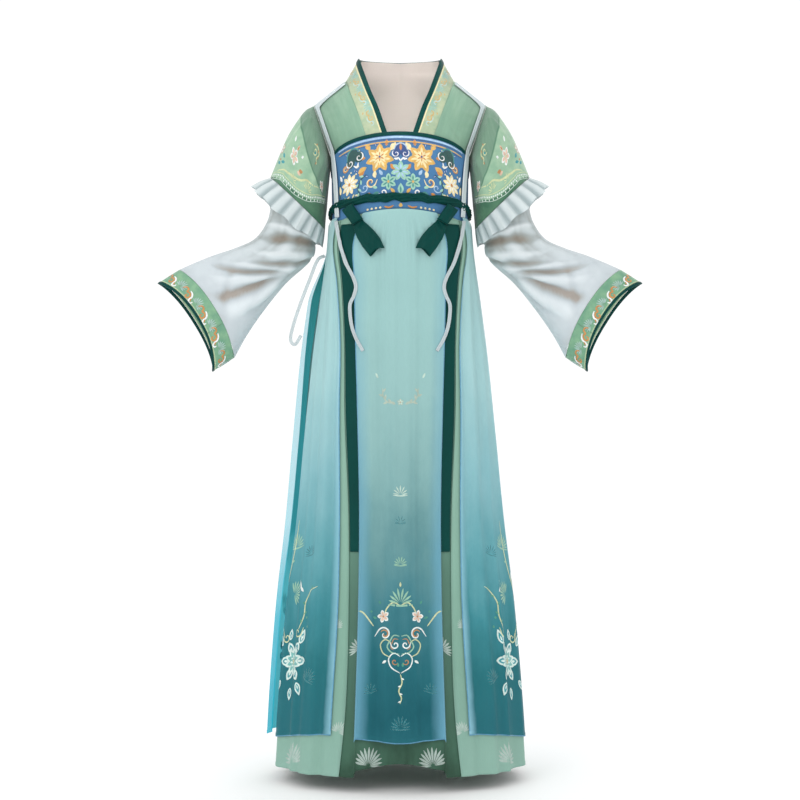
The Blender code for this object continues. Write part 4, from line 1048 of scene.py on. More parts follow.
def vine(points, tone, width, leaf_tone=None, leaf=0.008, every=2, lift=0):
    """A stem with pairs of small leaves along it."""
    line = curve_through(points, 24)
    made = [stroke(points, width, tone, 24, (0.5, 0.3), lift)]
    if leaf_tone:
        for i in range(3, 22, every * 2):
            along = line[i + 1] - line[i - 1]
            heading = math.degrees(math.atan2(along[0], -along[1]))
            side = 1 if (i // (every * 2)) % 2 else -1
            made += placed([petal(leaf, leaf * 0.45, leaf_tone, 0.0, lift + 1)],
                           line[i][0], line[i][1], heading + 48 * side)
    return made


def laid(name, shell, strokes, tones, slot, out=0.0002, dome=0.0, across=4, step=0.00006):
    """One mesh of all the strokes, lying on the shell's own surface."""
    points, faces, uvs, picks = [], [], [], []
    share = np.linspace(-1, 1, across + 1)
    total = 0
    for item in strokes:
        line = item["line"]
        heading = np.gradient(line, axis=0)
        heading /= np.maximum(np.linalg.norm(heading, axis=1, keepdims=True), 1e-9)
        side = np.stack([-heading[:, 1], heading[:, 0]], axis=1)
        flat = line[:, None, :] + side[:, None, :] * (item["half"][:, None] * share)[..., None]
        rise = out + item["lift"] * step + item["dome"] * dome * (1 - share**2)[None, :]
        rise = np.broadcast_to(rise, flat.shape[:2])
        n, m = flat.shape[:2]
        points.append(np.concatenate([flat.reshape(-1, 2), rise.reshape(-1, 1)], axis=1))
        i, j = [a.ravel() for a in np.meshgrid(np.arange(n - 1), np.arange(m - 1), indexing="ij")]
        a = total + i * m + j
        faces.append(np.stack([a, a + 1, a + m + 1, a + m], axis=1))
        picks.append(np.full(len(a), tones.index(item["tone"])))
        length = np.linalg.norm(np.diff(line, axis=0), axis=1)
        run = np.concatenate([[0.0], np.cumsum(length)])
        local = np.stack([item["half"][:, None] * share, np.broadcast_to(run[:, None], (n, m))], axis=-1)
        uvs.append(local.reshape(-1, 2))
        total += n * m
    flat = np.concatenate(points)
    faces = np.concatenate(faces)
    r, c = located(shell, flat[:, 0], flat[:, 1])
    normal = sampled(shell["normals"], r, c)
    normal /= np.linalg.norm(normal, axis=1, keepdims=True)
    solid = sampled(shell["points"], r, c) + normal * flat[:, 2:3]
    corners = np.concatenate(uvs)[faces]
    first = np.cross(solid[faces[0, 1]] - solid[faces[0, 0]], solid[faces[0, 3]] - solid[faces[0, 0]])
    if first @ normal[faces[0, 0]] < 0:
        faces, corners = faces[:, ::-1], corners[:, ::-1]
    used = [THREADS[tone] for tone in tones]
    thing = new_mesh(name, solid, faces, used, {"metres": corners}, np.concatenate(picks))
    return finish_piece(thing)


# The dress's finishes; some carry painted shade and painted light

THREADS = {
    "gold": thread_finish("thread_gold", "E0B25C"),
    "orange": thread_finish("thread_orange", "D08A3C"),
    "cream": thread_finish("thread_cream", "F3E3B0"),
    "white": thread_finish("thread_white", "F2F3F2"),
    "dark": thread_finish("thread_dark_green", "0F4A48"),
    "teal": thread_finish("thread_teal", "3F8E88"),
    "mint": thread_finish("thread_mint", "9CCDB8"),
    "navy": thread_finish("thread_navy", "2A4A86"),
    "sky": thread_finish("thread_sky", "A9C8E6"),
    "teal_band": thread_finish("thread_blue_green", "7FB7B4"),
    "orange_band": thread_finish("thread_rust", "C98A4A"),
    "gold_band": thread_finish("thread_old_gold", "C4A365"),
    "seam_band": thread_finish("thread_olive", "5F8468"),
    "print_lace": thread_finish("print_lace", "DDF1EA", 0.92, 0.75),
    "print_hem": thread_finish("print_hem", "D3E6DE", 0.62, 0.75),
    "pale_band": thread_finish("thread_gray_blue", "A9C3BE"),
    "print_pale": thread_finish("print_pale", "CFE6D8", 0.85, 0.75),
    "print_mint": thread_finish("print_mint", "A2D0B4", 0.80, 0.75),
    "print_white": thread_finish("print_white", "EFF6F2", 0.92, 0.75),
    "print_cream": thread_finish("print_cream", "D8DFAE", 0.88, 0.75),
    "print_beige": thread_finish("print_beige", "BFCDBC", 0.80, 0.75),
    "print_sea": thread_finish("print_sea", "74BDB8", 0.90, 0.75),
    "print_teal": thread_finish("print_teal", "2F9CA6", 0.90, 0.75),
    "print_green": thread_finish("print_green", "55A58C", 0.75, 0.75),
    "print_rust": thread_finish("print_rust", "C28A5A", 0.88, 0.75),
    "print_pink": thread_finish("print_pink", "EBC6AE", 0.88, 0.75),
    "print_blue": thread_finish("print_blue", "8FBCC6", 0.85, 0.75),
    "print_edge": thread_finish("print_edge", "5C9CC0", 0.85, 0.75),
    "print_faint": thread_finish("print_faint", "4E9AA2", 0.55, 0.75),
}


def shot_green(tree, flat, solid):
    """Cross-dyed green: two tones that run with the threads."""
    runs = noise(tree, flat, 1.0, 3.0, 0.6, (60.0, 9.0, 1.0))
    wide = noise(tree, solid, 7.0, 2.0)
    both = maths(tree, "ADD", maths(tree, "MULTIPLY", runs, 0.5), maths(tree, "MULTIPLY", wide, 0.5))
    return ramp(tree, both, [(0.34, colour("769B86")), (0.50, colour("7FA38C")), (0.66, colour("91B29B"))])


def lookup(tree, value, pairs):
    """A smooth curve through pairs of numbers from 0 to 1."""
    return ramp(tree, value, [(at, (number,) * 3) for at, number in pairs])


def pleat_shading(tree, flat, solid):
    """Painted shade along each pleat's valley and painted highlight on its crest."""
    split = map_parts(tree, "share")
    wave = maths(tree, "SINE", maths(tree, "MULTIPLY", split.outputs[0], 2 * math.pi * RUFFLE_PLEATS))
    return ramp(tree, level(tree, wave, -1.0, 1.0), [(0.0, colour("A3B2B4")), (0.45, colour("C4D0D2")),
                                                     (1.0, colour("D6E0E1"))])


def vest_edge_zones(shares, metres):
    """The vest's back: the cloth over the skirt, then what stands clear of it, then a hem of one layer; the part that
    stands clear takes painted shade above and painted light below, and the hem of one layer a painted backlight.
    """
    clear = (shares[:, 0] > VEST_CLEAR).astype(int) + (shares[:, 0] > VEST_EDGE).astype(int)
    return clear * (shares[:, 1] > SLIT_TOP)


def chiffon_fold_shading(tree, flat, solid):
    """Painted highlight on the fold ridges and painted warm shade in the fold troughs, with more contrast on the upper
    sleeve.
    """
    split = map_parts(tree, "folds")
    drift = maths(tree, "SUBTRACT", noise(tree, solid, 26.0, 2.0), 0.5)
    height = maths(tree, "ADD", split.outputs[0], maths(tree, "MULTIPLY", drift, 0.5))
    upper = ramp(tree, height, [(0.0, colour("948C80")), (0.30, colour("A0A29C")), (0.50, colour("A8AFAD")),
                                (0.72, colour("C6D0D2")), (1.0, colour("E0E8EA"))])
    lower = ramp(tree, height, [(0.0, colour("B0A8A0")), (0.30, colour("BCC1C2")), (0.50, colour("C6CFD4")),
                                (1.0, colour("E0E8EC"))])
    return mixed(tree, "MIX", level(tree, split.outputs[1], 0.40, 0.80), upper, lower)


def sleeve_zones(tree, flat, solid):
    """A plain cap, a lighter printed field below a slanting edge, and a dark border."""
    split = map_parts(tree, "share")
    turn, along = split.outputs[0], split.outputs[1]
    under = maths(tree, "ABSOLUTE", maths(tree, "SUBTRACT", turn, 0.5))
    start = lookup(tree, under, ((0.0, 0.66), (0.10, 0.65), (0.157, 0.61), (0.333, 0.44), (0.50, 0.30)))
    past = maths(tree, "SUBTRACT", along, start)
    plain = mixed(tree, "MULTIPLY", 1.0, shot_green(tree, flat, solid), (0.80, 0.81, 0.80, 1.0))
    cloudy = ramp(tree, noise(tree, solid, 45.0, 3.0), [(0.35, colour("8DB397")), (0.65, colour("A3C3A6"))])
    tone = mixed(tree, "MIX", level(tree, past, 0.0, 0.02), plain, cloudy)
    line = maths(tree, "MULTIPLY", level(tree, past, -0.022, -0.010), level(tree, past, 0.018, 0.004))
    tone = mixed(tree, "MIX", maths(tree, "MULTIPLY", line, 0.65), tone, colour("4C7B62"))
    low = maths(tree, "SUBTRACT", along, lookup(tree, under, (
        (0.0, 0.64), (0.07, 0.685), (0.127, 0.76), (0.183, 0.865), (0.24, 0.925), (0.364, 0.955), (0.43, 0.985))))
    dark = ramp(tree, noise(tree, solid, 30.0, 3.0), [(0.35, colour("3F6C54")), (0.65, colour("557F63"))])
    return mixed(tree, "MIX", level(tree, low, 0.0, 0.012), tone, dark)


def band_zones(ground, edging, low=0.90):
    """A patterned band's ground with a thin light edging by its binding."""

    def paint(tree, flat, solid):
        split = map_parts(tree, "share")
        mottled = noise(tree, solid, 60.0, 2.0)
        tone = ramp(tree, mottled, [(0.3, colour(ground[0])), (0.7, colour(ground[1]))])
        return mixed(tree, "MIX", level(tree, split.outputs[1], low, low + 0.015), tone, colour(edging))

    return paint


SHIRT = fabric("shirt_cloth", "86AD95", 0.62, 0.35, mottle=0.05, painter=shot_green)
SLEEVE_PRINT = fabric("sleeve_cloth", "86A88E", 0.68, 0.30, mottle=0.05, painter=sleeve_zones)
# The white chiffon's colour is painted shade in the fold troughs and painted highlight on the fold ridges.
CHIFFON = fabric("white_chiffon", "D2D9DD", 0.80, 0.15, weave=0.15, slub=0.15, mottle=0.02,
                 alpha=0.84, crepe=0.5, painter=chiffon_fold_shading)
# The pleated chiffon's colour is painted shade in the pleat valleys, lighter on the crests.
PLEATED = fabric("pleated_chiffon", "CBD6D8", 0.80, 0.15, weave=0.15, slub=0.15, mottle=0.02,
                 alpha=0.88, painter=pleat_shading)
COLLAR_CLOTH = fabric("collar_cloth", "B9CF9E", 0.60, 0.35, mottle=0.06,
                      painter=band_zones(("96AD90", "B3BC9B"), "E0D9AC"))
CUFF_CLOTH = fabric("cuff_cloth", "8DB68A", 0.60, 0.35, mottle=0.06,
                    painter=band_zones(("6A9B80", "84AF8C"), "B9CDA6", 0.93))
DARK_CLOTH = fabric("dark_binding", "04403C", 0.34, 0.02, thread=0.0007, mottle=0.12, shine=0.10)
RIBBON_CLOTH = fabric("ribbon_cloth", "04403B", 0.38, 0.02, mottle=0.14, slub=0.5, shine=0.08)
LINING_CLOTH = fabric("lining_cloth", "D9CEC6", 0.85, 0.10, mottle=0.02)
BODICE_CLOTH = fabric("bodice_cloth", "4779A6", 0.62, 0.10, mottle=0.12, slub=0.5)
UNDERSKIRT_CLOTH = fabric("underskirt_cloth", "8FB9A0", 0.75, 0.08, mottle=0.05, painter=dip_dye(
    ((0.25, "8DB4A2"), (0.80, "86AD9C"), (1.15, "7DA594"), (1.40, "8BB0A3"))))
# The front sheet: the back sheet's green at the top, with painted shade below that deepens down the sheet and is
# darkest at the hem, for the shadow inside the centre fold.
FRONT_SHEET_SHADED_CLOTH = fabric("front_sheet_shaded_cloth", "5A7F71", 0.75, 0.08, mottle=0.05, painter=dip_dye(
    ((0.25, "8DB4A2"), (0.60, "789E90"), (0.90, "5C8272"), (1.15, "466A5B"), (1.31, "3F6452"), (1.37, "2E4C3C"))))
APRON_CLOTH = fabric("apron_cloth", "A3CFCB", 0.78, 0.08, mottle=0.03, alpha=0.90, crepe=0.25, painter=dip_dye(
    ((0.25, "A0C9C7"), (0.62, "98C1BF"), (0.78, "86B1B1"), (0.92, "649498"), (1.03, "48828C"),
     (1.15, "296C77"), (1.24, "1F5F6A"), (1.34, "296C78")), "74AEC6", 0.33, 0.50))
VEST_CLOTH = fabric("vest_cloth", "A8D0D4", 0.78, 0.06, mottle=0.03, alpha=0.76, crepe=0.25, painter=dip_dye(
    ((0.25, "B4DADA"), (0.60, "B0DADE"), (0.78, "93C7D0"), (0.93, "6AADB8"), (1.05, "3F909C"),
     (1.17, "20747F"), (1.34, "1C6C7B")), "9AD0E4", 0.40, 0.50))
VEST_BACK_CLOTH = fabric("vest_back_cloth", "A8D0D4", 0.78, 0.06, mottle=0.03, crepe=0.25, shine=0.08,
                         painter=dip_dye(((0.25, "A2CACA"), (0.60, "9CC6CA"), (0.78, "86BAC2"),
                                          (0.93, "629FA9"), (1.05, "3B848F"), (1.17, "206D78"),
                                          (1.34, "1C6877"))))
# Painted shade and light for the inside of the flared slit: dark teal shade at the top, and brighter cyan lower down in
# place of light that the slit doesn't get.
VEST_SLIT_SHADE_AND_LIGHT = fabric("vest_slit_painted_shade_and_light", "A8D0D4", 0.78, 0.06, mottle=0.03, crepe=0.25, shine=0.08,
                          glow=0.5, painter=dip_dye(((0.33, "3A8E88"), (0.50, "40A2AA"), (0.90, "40A8B4"),
                                                     (1.03, "6AD2E0"), (1.34, "5CC6D6"))))
# Painted backlight for the slit's single-layer edge: a brighter, more saturated cyan than the vest's own dye.
VEST_EDGE_PAINTED_BACKLIGHT = fabric("vest_edge_painted_backlight", "A8D0D4", 0.78, 0.06, mottle=0.03, alpha=0.15, crepe=0.25,
                         glow=0.5, dense=(0.88, 1.08, 0.85),
                         painter=dip_dye(((0.25, "6CC9DA"), (0.78, "68CADC"), (0.95, "5CD2E8"),
                                          (1.08, "59D9F2"), (1.34, "30C8E2"))))
SHEER_TIE = fabric("sheer_tie", "CFDADD", 0.75, 0.15, thread=0.0006, mottle=0.04, alpha=0.70)
SHEER_TRIM = fabric("sheer_trim", "CFDADD", 0.75, 0.15, thread=0.0006, mottle=0.04, alpha=0.95)


# Shirt, collar and lining


def ridge_drop(x):
    return NECK_SIDE[1] + SHOULDER_SLOPE * (np.abs(x) - NECK_SIDE[0])


def armhole_x(drop):
    share = np.clip((drop - SHOULDER_TIP[1]) / (ARMPIT[1] - SHOULDER_TIP[1]), 0, 1)
    return SHOULDER_TIP[0] + (ARMPIT[0] - SHOULDER_TIP[0]) * share


def torso_depth(x, drop, back, out):
    share = np.clip((drop - SHOULDER_TIP[1]) / (ARMPIT[1] - SHOULDER_TIP[1]), 0, 1)
    rise = ARMHOLE_EASE * (1 - (2 * share - 1) ** 2) * soft_step((1 - share) * 1.5)
    under = soft_step((drop - ARMPIT[1]) / (SPRING_DROP - ARMPIT[1]))
    width = armhole_x(drop) * (1 + rise) * (1 - under)
    width = width + (body("half_width", drop) - SHIRT_INSET) * under + out
    depth = body("back" if back else "front", drop) - (SHIRT_INSET if back else FRONT_INSET) + out
    n = body("squareness", drop) - SHIRT_ROUNDER
    flat = (1 - np.clip(np.abs(x) / width, 0, 1) ** n) ** (1 / n)
    ridge = ridge_drop(x) - out
    lift = np.clip((SPRING_DROP - drop) / (SPRING_DROP - ridge), 0, 1)
    return depth * flat * np.sqrt(1 - lift ** (BACK_ROUNDING if back else FRONT_ROUNDING))


def torso_points(x, drop, back, out=0.0):
    depth = torso_depth(x, drop, back, out)
    return np.stack([x, depth if back else -depth, -drop], axis=-1)


def armhole_drops(rows):
    """Drops down the armhole at row numbers from 0, shoulder tip, to ARMHOLE_ROWS, armpit."""
    share = (1 - np.cos(rows * math.pi / ARMHOLE_ROWS)) / 2
    return SHOULDER_TIP[1] + (ARMPIT[1] - SHOULDER_TIP[1]) * share


def side_run(rows):
    """Half width and drop of a shirt half's outer edge at row numbers up to SIDE_ROWS."""
    below = np.interp(rows, (ARMHOLE_ROWS, ARMHOLE_ROWS + 1, SIDE_ROWS), (ARMPIT[1], SPRING_DROP, SHIRT_HEM))
    drops = np.where(rows <= ARMHOLE_ROWS, armhole_drops(np.minimum(rows, ARMHOLE_ROWS)), below)
    width = np.where(drops <= ARMPIT[1], armhole_x(drops), body("half_width", drops) - SHIRT_INSET)
    return width, drops


def collar_runs(shares):
    """Seam and free edge of one half at shares from the front hem to the centre back."""
    seam = []
    edge = []
    for x, drop, edge_at, edge_drop, _ in COLLAR_FRONT:
        seam.append((x, -float(torso_depth(x, drop, False, 0.0)), -drop))
        edge.append((edge_at, -float(torso_depth(edge_at, edge_drop, False, 0.0)), -edge_drop))
    for x, drop, edge_at, edge_drop, edge_y in COLLAR_BACK:
        seam.append((x, float(torso_depth(x, drop, True, 0.0)), -drop))
        edge.append((edge_at, edge_y, -edge_drop))
    known = np.linspace(0, 1, len(seam))
    return [smooth_rows(known, np.array(run), shares) for run in (seam, edge)]


def unit(vectors):
    return vectors / np.maximum(np.linalg.norm(vectors, axis=-1, keepdims=True), 1e-9)


def moved_along(points, normals, relief):
    return points + normals * relief[..., None]


def small_waves(shape, cells, size, seed):
    """Smooth random relief on a grid, with about that many cells each way."""
    rng = np.random.default_rng(seed)
    rough = rng.normal(0.0, 1.0, (cells[0] + 2, cells[1] + 2))
    rows = smooth_rows(np.arange(cells[0] + 2), rough, np.linspace(0, cells[0] + 1, shape[0]))
    return smooth_rows(np.arange(cells[1] + 2), rows.T, np.linspace(0, cells[1] + 1, shape[1])).T * size


def ray_creases(x, drop, rays):
    """Soft creases on the shirt: each runs between two points, x and drop."""
    total = np.zeros_like(x)
    for x0, d0, x1, d1, half_width, depth in rays:
        along = np.array((x1 - x0, d1 - d0))
        length = np.linalg.norm(along)
        along /= length
        run = ((x - x0) * along[0] + (drop - d0) * along[1]) / length
        off = (x - x0) * along[1] - (drop - d0) * along[0]
        total += depth * soft_bump(off / half_width) * np.sin(math.pi * np.clip(run, 0, 1))
    return total


SHIRT_RAYS = (
    (0.136, 0.150, 0.090, 0.085, 0.0080, -0.0016),
    (0.134, 0.158, 0.078, 0.118, 0.0075, 0.0015),
    (0.132, 0.164, 0.074, 0.150, 0.0070, -0.0014),
    (0.156, 0.080, 0.112, 0.070, 0.0090, 0.0012),
    (0.150, 0.105, 0.100, 0.100, 0.0080, -0.0012),
)
BACK_RAYS = (
    (0.140, 0.140, 0.070, 0.095, 0.0100, 0.0016),
    (0.136, 0.160, 0.050, 0.150, 0.0100, -0.0014),
    (0.150, 0.095, 0.080, 0.060, 0.0100, 0.0012),
    (0.020, 0.030, 0.012, 0.200, 0.0110, -0.0012),
)


def make_shirt():
    rows = np.linspace(0, SIDE_ROWS, 90)
    outer_x, outer_drop = side_run(rows)
    entries = len(COLLAR_FRONT) + len(COLLAR_BACK) - 1
    seam = collar_runs((SIDE_ROWS - rows) / (2 * entries))[0]
    spread = np.sin(np.linspace(0, math.pi / 2, 60))
    x = seam[:, :1] * (1 - spread) + outer_x[:, None] * spread
    drop = -seam[:, 2:] * (1 - spread) + outer_drop[:, None] * spread
    points = torso_points(x, drop, False)
    normals = grid_normals(points, False, (0.09, 0.0, -0.2))
    normals[0, :, 1] = 0
    normals[rows > ARMHOLE_ROWS, -1] = (1.0, 0.0, 0.0)
    normals = unit(normals)
    inside = soft_step(spread * 6) * soft_step((1 - spread) * 30)
    relief = (ray_creases(x, drop, SHIRT_RAYS) + small_waves(x.shape, (7, 5), 0.0003, 5)) * inside
    points = moved_along(points, normals, relief)
    for side, word in ((-1.0, "left"), (1.0, "right")):
        mirror = np.array((side, 1.0, 1.0))
        thing = cloth_mesh(f"shirt_front_cloth_{word}", points * mirror, (points - normals * THIN) * mirror, SHIRT)
        finish_piece(thing, [f"shirt_front_{word}"])
    cols = np.linspace(0, BACK_COLUMNS, 70)
    ridge_x = np.interp(cols, (0, RIDGE_COLUMNS), (SHOULDER_TIP[0], NECK_SIDE[0]))
    neck = smooth_rows(np.linspace(0, 1, len(COLLAR_BACK)), np.array([row[:2] for row in COLLAR_BACK]),
                       (cols - RIDGE_COLUMNS) / (BACK_COLUMNS - RIDGE_COLUMNS))
    top_x = np.where(cols <= RIDGE_COLUMNS, ridge_x, neck[:, 0])
    top_drop = np.where(cols <= RIDGE_COLUMNS, ridge_drop(ridge_x), neck[:, 1])
    x, drop = back_grid(rows, top_x, top_drop, side_run(rows))
    half = torso_points(x, drop, True)
    normals = grid_normals(half, False, (0.0, -0.05, -0.15))
    normals[0, cols <= RIDGE_COLUMNS, 1] = 0
    normals[rows > ARMHOLE_ROWS, 0] = (1.0, 0.0, 0.0)
    normals[:, -1, 0] = 0
    normals = unit(normals)
    inside = soft_step(cols / 2)[None, :] * soft_step(rows / 2)[:, None]
    half = moved_along(half, normals, ray_creases(x, drop, BACK_RAYS) * inside)
    mirror = np.array((-1.0, 1.0, 1.0))
    inner = half - normals * THIN
    outer = np.concatenate([half, (half * mirror)[:, -2::-1]], axis=1)
    inner = np.concatenate([inner, (inner * mirror)[:, -2::-1]], axis=1)
    finish_piece(cloth_mesh("shirt_back_cloth", outer, inner, SHIRT), ["shirt_back"])


def back_grid(rows, top_x, top_drop, outer):
    """Half of the shirt's back: half width and drop at row numbers and columns."""
    outer_x, outer_drop = outer
    share = top_x / top_x[0]
    down = rows / SIDE_ROWS
    centre_drop = top_drop[-1] + (outer_drop[-1] - top_drop[-1]) * down
    curve = (1 - share**2)[None, :]
    plain = outer_drop[:, None] * (1 - curve) + centre_drop[:, None] * curve
    fade = np.clip(1 - down / NECK_FADE, 0, 1)[:, None]
    return outer_x[:, None] * share[None, :], plain + (top_drop[None, :] - plain[0][None, :]) * fade


def make_collar():
    shares = np.linspace(0, 1, 150)
    seam, edge = collar_runs(shares)
    seam[-1, 0] = edge[-1, 0] = 0.0
    mirror = np.array((-1.0, 1.0, 1.0))
    made = {}
    for name, slot, first, last, rows, material, width in (
        ("collar_band", "band_pattern", 0.0, BAND_SHARE, 14, COLLAR_CLOTH, 0.033),
        ("collar_binding", "dark_green", BAND_SHARE, 1.0, 11, DARK_CLOTH, 0.013),
    ):
        place = np.linspace(0, 1, rows)
        share = (first + (last - first) * place)[:, None, None]
        half = seam[None] * (1 - share) + edge[None] * share
        points = np.concatenate([half, (half * mirror)[:, -2::-1]], axis=1)
        normals = grid_normals(points, False, (0.0, 0.0, -0.1))
        round_off = np.sqrt(np.clip(1 - (2 * place - 1) ** 2, 0, 1))[:, None, None]
        if name == "collar_binding":
            outer = points + normals * (0.0002 + 0.0011 * round_off)
            inner = points - normals * (0.0008 + 0.0010 * round_off)
        else:
            outer, inner = points, points - normals * THIN
        thing = cloth_mesh(f"{name}_cloth", outer, inner, material)
        finish_piece(thing, [name])
        made[name] = open_shell(outer, normals)
    seam, edge = seam[::-1], edge[::-1]
    start = 2 * len(COLLAR_FRONT) + 2
    keep = shares >= start / (2 * (len(COLLAR_FRONT) + len(COLLAR_BACK) - 1))
    seam, edge = [run[::-1][keep] for run in (seam, edge)]
    table = [edge + (seam - edge) * share for share in (LINING_EDGE_SHARE, 0.5, 1.0)]
    for drop in LINING_DROPS:
        x = seam[:, 0] * (1 + LINING_SPREAD * drop / LINING_DROPS[-1])
        depth = torso_depth(x, np.full_like(x, drop), True, 0.0)
        table.append(np.stack([x, depth, np.full_like(x, -drop)], axis=1))
    half = smooth_rows(np.arange(len(table)), np.array(table), np.linspace(0, len(table) - 1, 40))
    half[:, -1, 0] = 0.0
    points = np.concatenate([half, (half * mirror)[:, -2::-1]], axis=1)
    normals = grid_normals(points, False, (0.0, -0.1, -0.05))
    outer = points - normals * (CLOTH + LINING_GAP)
    thing = cloth_mesh("neck_lining_cloth", outer, outer - normals * THIN, LINING_CLOTH)
    finish_piece(thing, ["back_neck_lining"])
    return made


# Sleeves


def ring_points(rings, steps):
    """Points round each sleeve ring of the right sleeve, from the top over the front."""
    angles = np.linspace(0, 2 * math.pi, steps, endpoint=False)
    along = np.cos(angles)
    across = np.sin(angles)
    reach = (np.abs(along) ** SLEEVE_SQUARENESS + np.abs(across) ** SLEEVE_SQUARENESS) ** (1 / SLEEVE_SQUARENESS)
    along, across = along / reach, across / reach
    points = []
    for top_x, top_drop, bottom_x, bottom_drop, depth, bow_front, bow_back in rings:
        half = np.array(((top_x - bottom_x) / 2, (bottom_drop - top_drop) / 2))
        length = np.hypot(*half)
        bow = np.where(across > 0, bow_front, bow_back) * across**2
        x = (top_x + bottom_x) / 2 + half[0] * along - bow * half[1] / length
        drop = (top_drop + bottom_drop) / 2 - half[1] * along - bow * half[0] / length
        points.append(np.stack([x, -depth * across, -drop], axis=-1))
    return np.array(points)


def armhole_ring(steps):
    rows = np.linspace(0, ARMHOLE_ROWS, steps // 2 + 1)
    drops = armhole_drops(rows)
    front = torso_points(armhole_x(drops), drops, False)
    back = torso_points(armhole_x(drops), drops, True)[-2:0:-1]
    line = np.array((SHOULDER_TIP[0] - ARMPIT[0], 0.0, ARMPIT[1] - SHOULDER_TIP[1]))
    line /= np.linalg.norm(line)
    return np.concatenate([front, back]) + np.array((line[2], 0.0, -line[0])) * ARMHOLE_GAP


def more_rings(points, rows):
    known = np.arange(points.shape[0])
    return smooth_rows(known, points, np.linspace(0, known[-1], rows))


def tube_creases(rings, turns, table):
    """Relief of creases that run along a tube; rings and turns are its rows and columns."""
    total = np.zeros((len(rings), len(turns)))
    for from_turn, to_turn, from_ring, to_ring, half_width, depth in table:
        run = np.clip((rings - from_ring) / (to_ring - from_ring), 0, 1)
        middle = from_turn + (to_turn - from_turn) * run**0.8
        away = (turns[None, :] - middle[:, None] + 0.5) % 1.0 - 0.5
        size = depth * np.sin(math.pi * run) ** 0.7
        total += size[:, None] * soft_bump(away / half_width)
    return total


def make_sleeve(side, word):
    mirror = np.array((side, 1.0, 1.0))
    turns = np.arange(SLEEVE_STEPS) / SLEEVE_STEPS
    cap = np.concatenate([armhole_ring(SLEEVE_STEPS)[None], ring_points(CAP_RINGS, SLEEVE_STEPS)])
    cap = more_rings(cap, 64)
    rings = np.linspace(0, len(CAP_RINGS), 64)
    normals = grid_normals(cap, True)
    ends = soft_step(rings / 0.8) * soft_step((len(CAP_RINGS) - rings) / 0.7)
    relief = tube_creases(rings, turns, CAP_CREASES) * ends[:, None]
    relief += small_waves(cap.shape[:2], (6, 12), 0.0003, 11) * ends[:, None] * np.sin(math.pi * turns) ** 2
    cap = moved_along(cap, normals, relief)
    normals = grid_normals(cap, True)
    thing = cloth_mesh(f"sleeve_cap_cloth_{word}", cap * mirror, (cap - normals * THIN) * mirror,
                       SLEEVE_PRINT, closed=True)
    finish_piece(thing, [f"sleeve_cap_{word}"])
    quarter = SLEEVE_STEPS // 4
    made = {"cap_front": open_shell(cap * mirror, normals * mirror, True, quarter),
            "cap_back": open_shell(cap * mirror, normals * mirror, True, 3 * quarter)}
    make_ruffle(mirror, word)
    make_lower_sleeve(mirror, word, turns)
    for name, slot, rings, material, rows in (
        ("cuff_band", "band_pattern", CUFF_RINGS, CUFF_CLOTH, 16),
        ("cuff_binding", "dark_green", CUFF_EDGE_RINGS, DARK_CLOTH, 9),
    ):
        tube = more_rings(ring_points(rings, SLEEVE_STEPS), rows)
        normals = grid_normals(tube, True)
        place = np.linspace(-1, 1, rows)[:, None, None]
        if name == "cuff_binding":
            outer = tube + normals * (0.0003 + 0.0009 * np.sqrt(np.clip(1 - place**2, 0, 1)))
            inner = tube - normals * (0.0010 + 0.0008 * np.sqrt(np.clip(1 - place**2, 0, 1)))
        else:
            outer, inner = tube, tube - normals * 0.0012
        thing = cloth_mesh(f"{name}_cloth_{word}", outer * mirror, inner * mirror, material, closed=True)
        finish_piece(thing, [f"{name}_{word}"])
        made[f"{name}_front"] = open_shell(outer * mirror, normals * mirror, True, quarter)
        made[f"{name}_back"] = open_shell(outer * mirror, normals * mirror, True, 3 * quarter)
    return made


def make_ruffle(mirror, word):
    """A pleated frill: sharp-sided pleats that open towards a wavy edge."""
    each = 18
    steps = each * RUFFLE_PLEATS
    rows = 16
    tube = more_rings(ring_points(RUFFLE_RINGS, steps), rows)
    away = tube - tube.mean(axis=1, keepdims=True)
    away /= np.linalg.norm(away, axis=2, keepdims=True)
    rng = np.random.default_rng(17)
    sizes = smooth_rows(np.arange(RUFFLE_PLEATS + 1), rng.uniform(0.75, 1.20, RUFFLE_PLEATS + 1),
                        np.arange(steps) / each)
    phase = np.arange(steps) * 2 * math.pi / each
    wave = np.sin(phase + 0.35 * np.sin(phase)) + 0.22 * np.sin(2 * phase + 0.8)
    grown = smooth_rows((0, 0.5, 1), (0.16, 0.72, 1.0), np.linspace(0, 1, rows))
    tube = tube + away * (RUFFLE_WAVE * grown[:, None] * (wave * sizes)[None, :])[..., None]
    along = tube[-1] - tube[-2]
    length = np.linspace(0, 1, rows)[:, None, None] ** 2
    tube = tube + along[None] * length * (0.9 * np.sin(phase * 0.5 + 1.0) * sizes)[None, :, None]
    thing = cloth_mesh(f"sleeve_ruffle_cloth_{word}", tube * mirror, None, PLEATED, closed=True)
    finish_piece(thing, [f"sleeve_ruffle_{word}"])


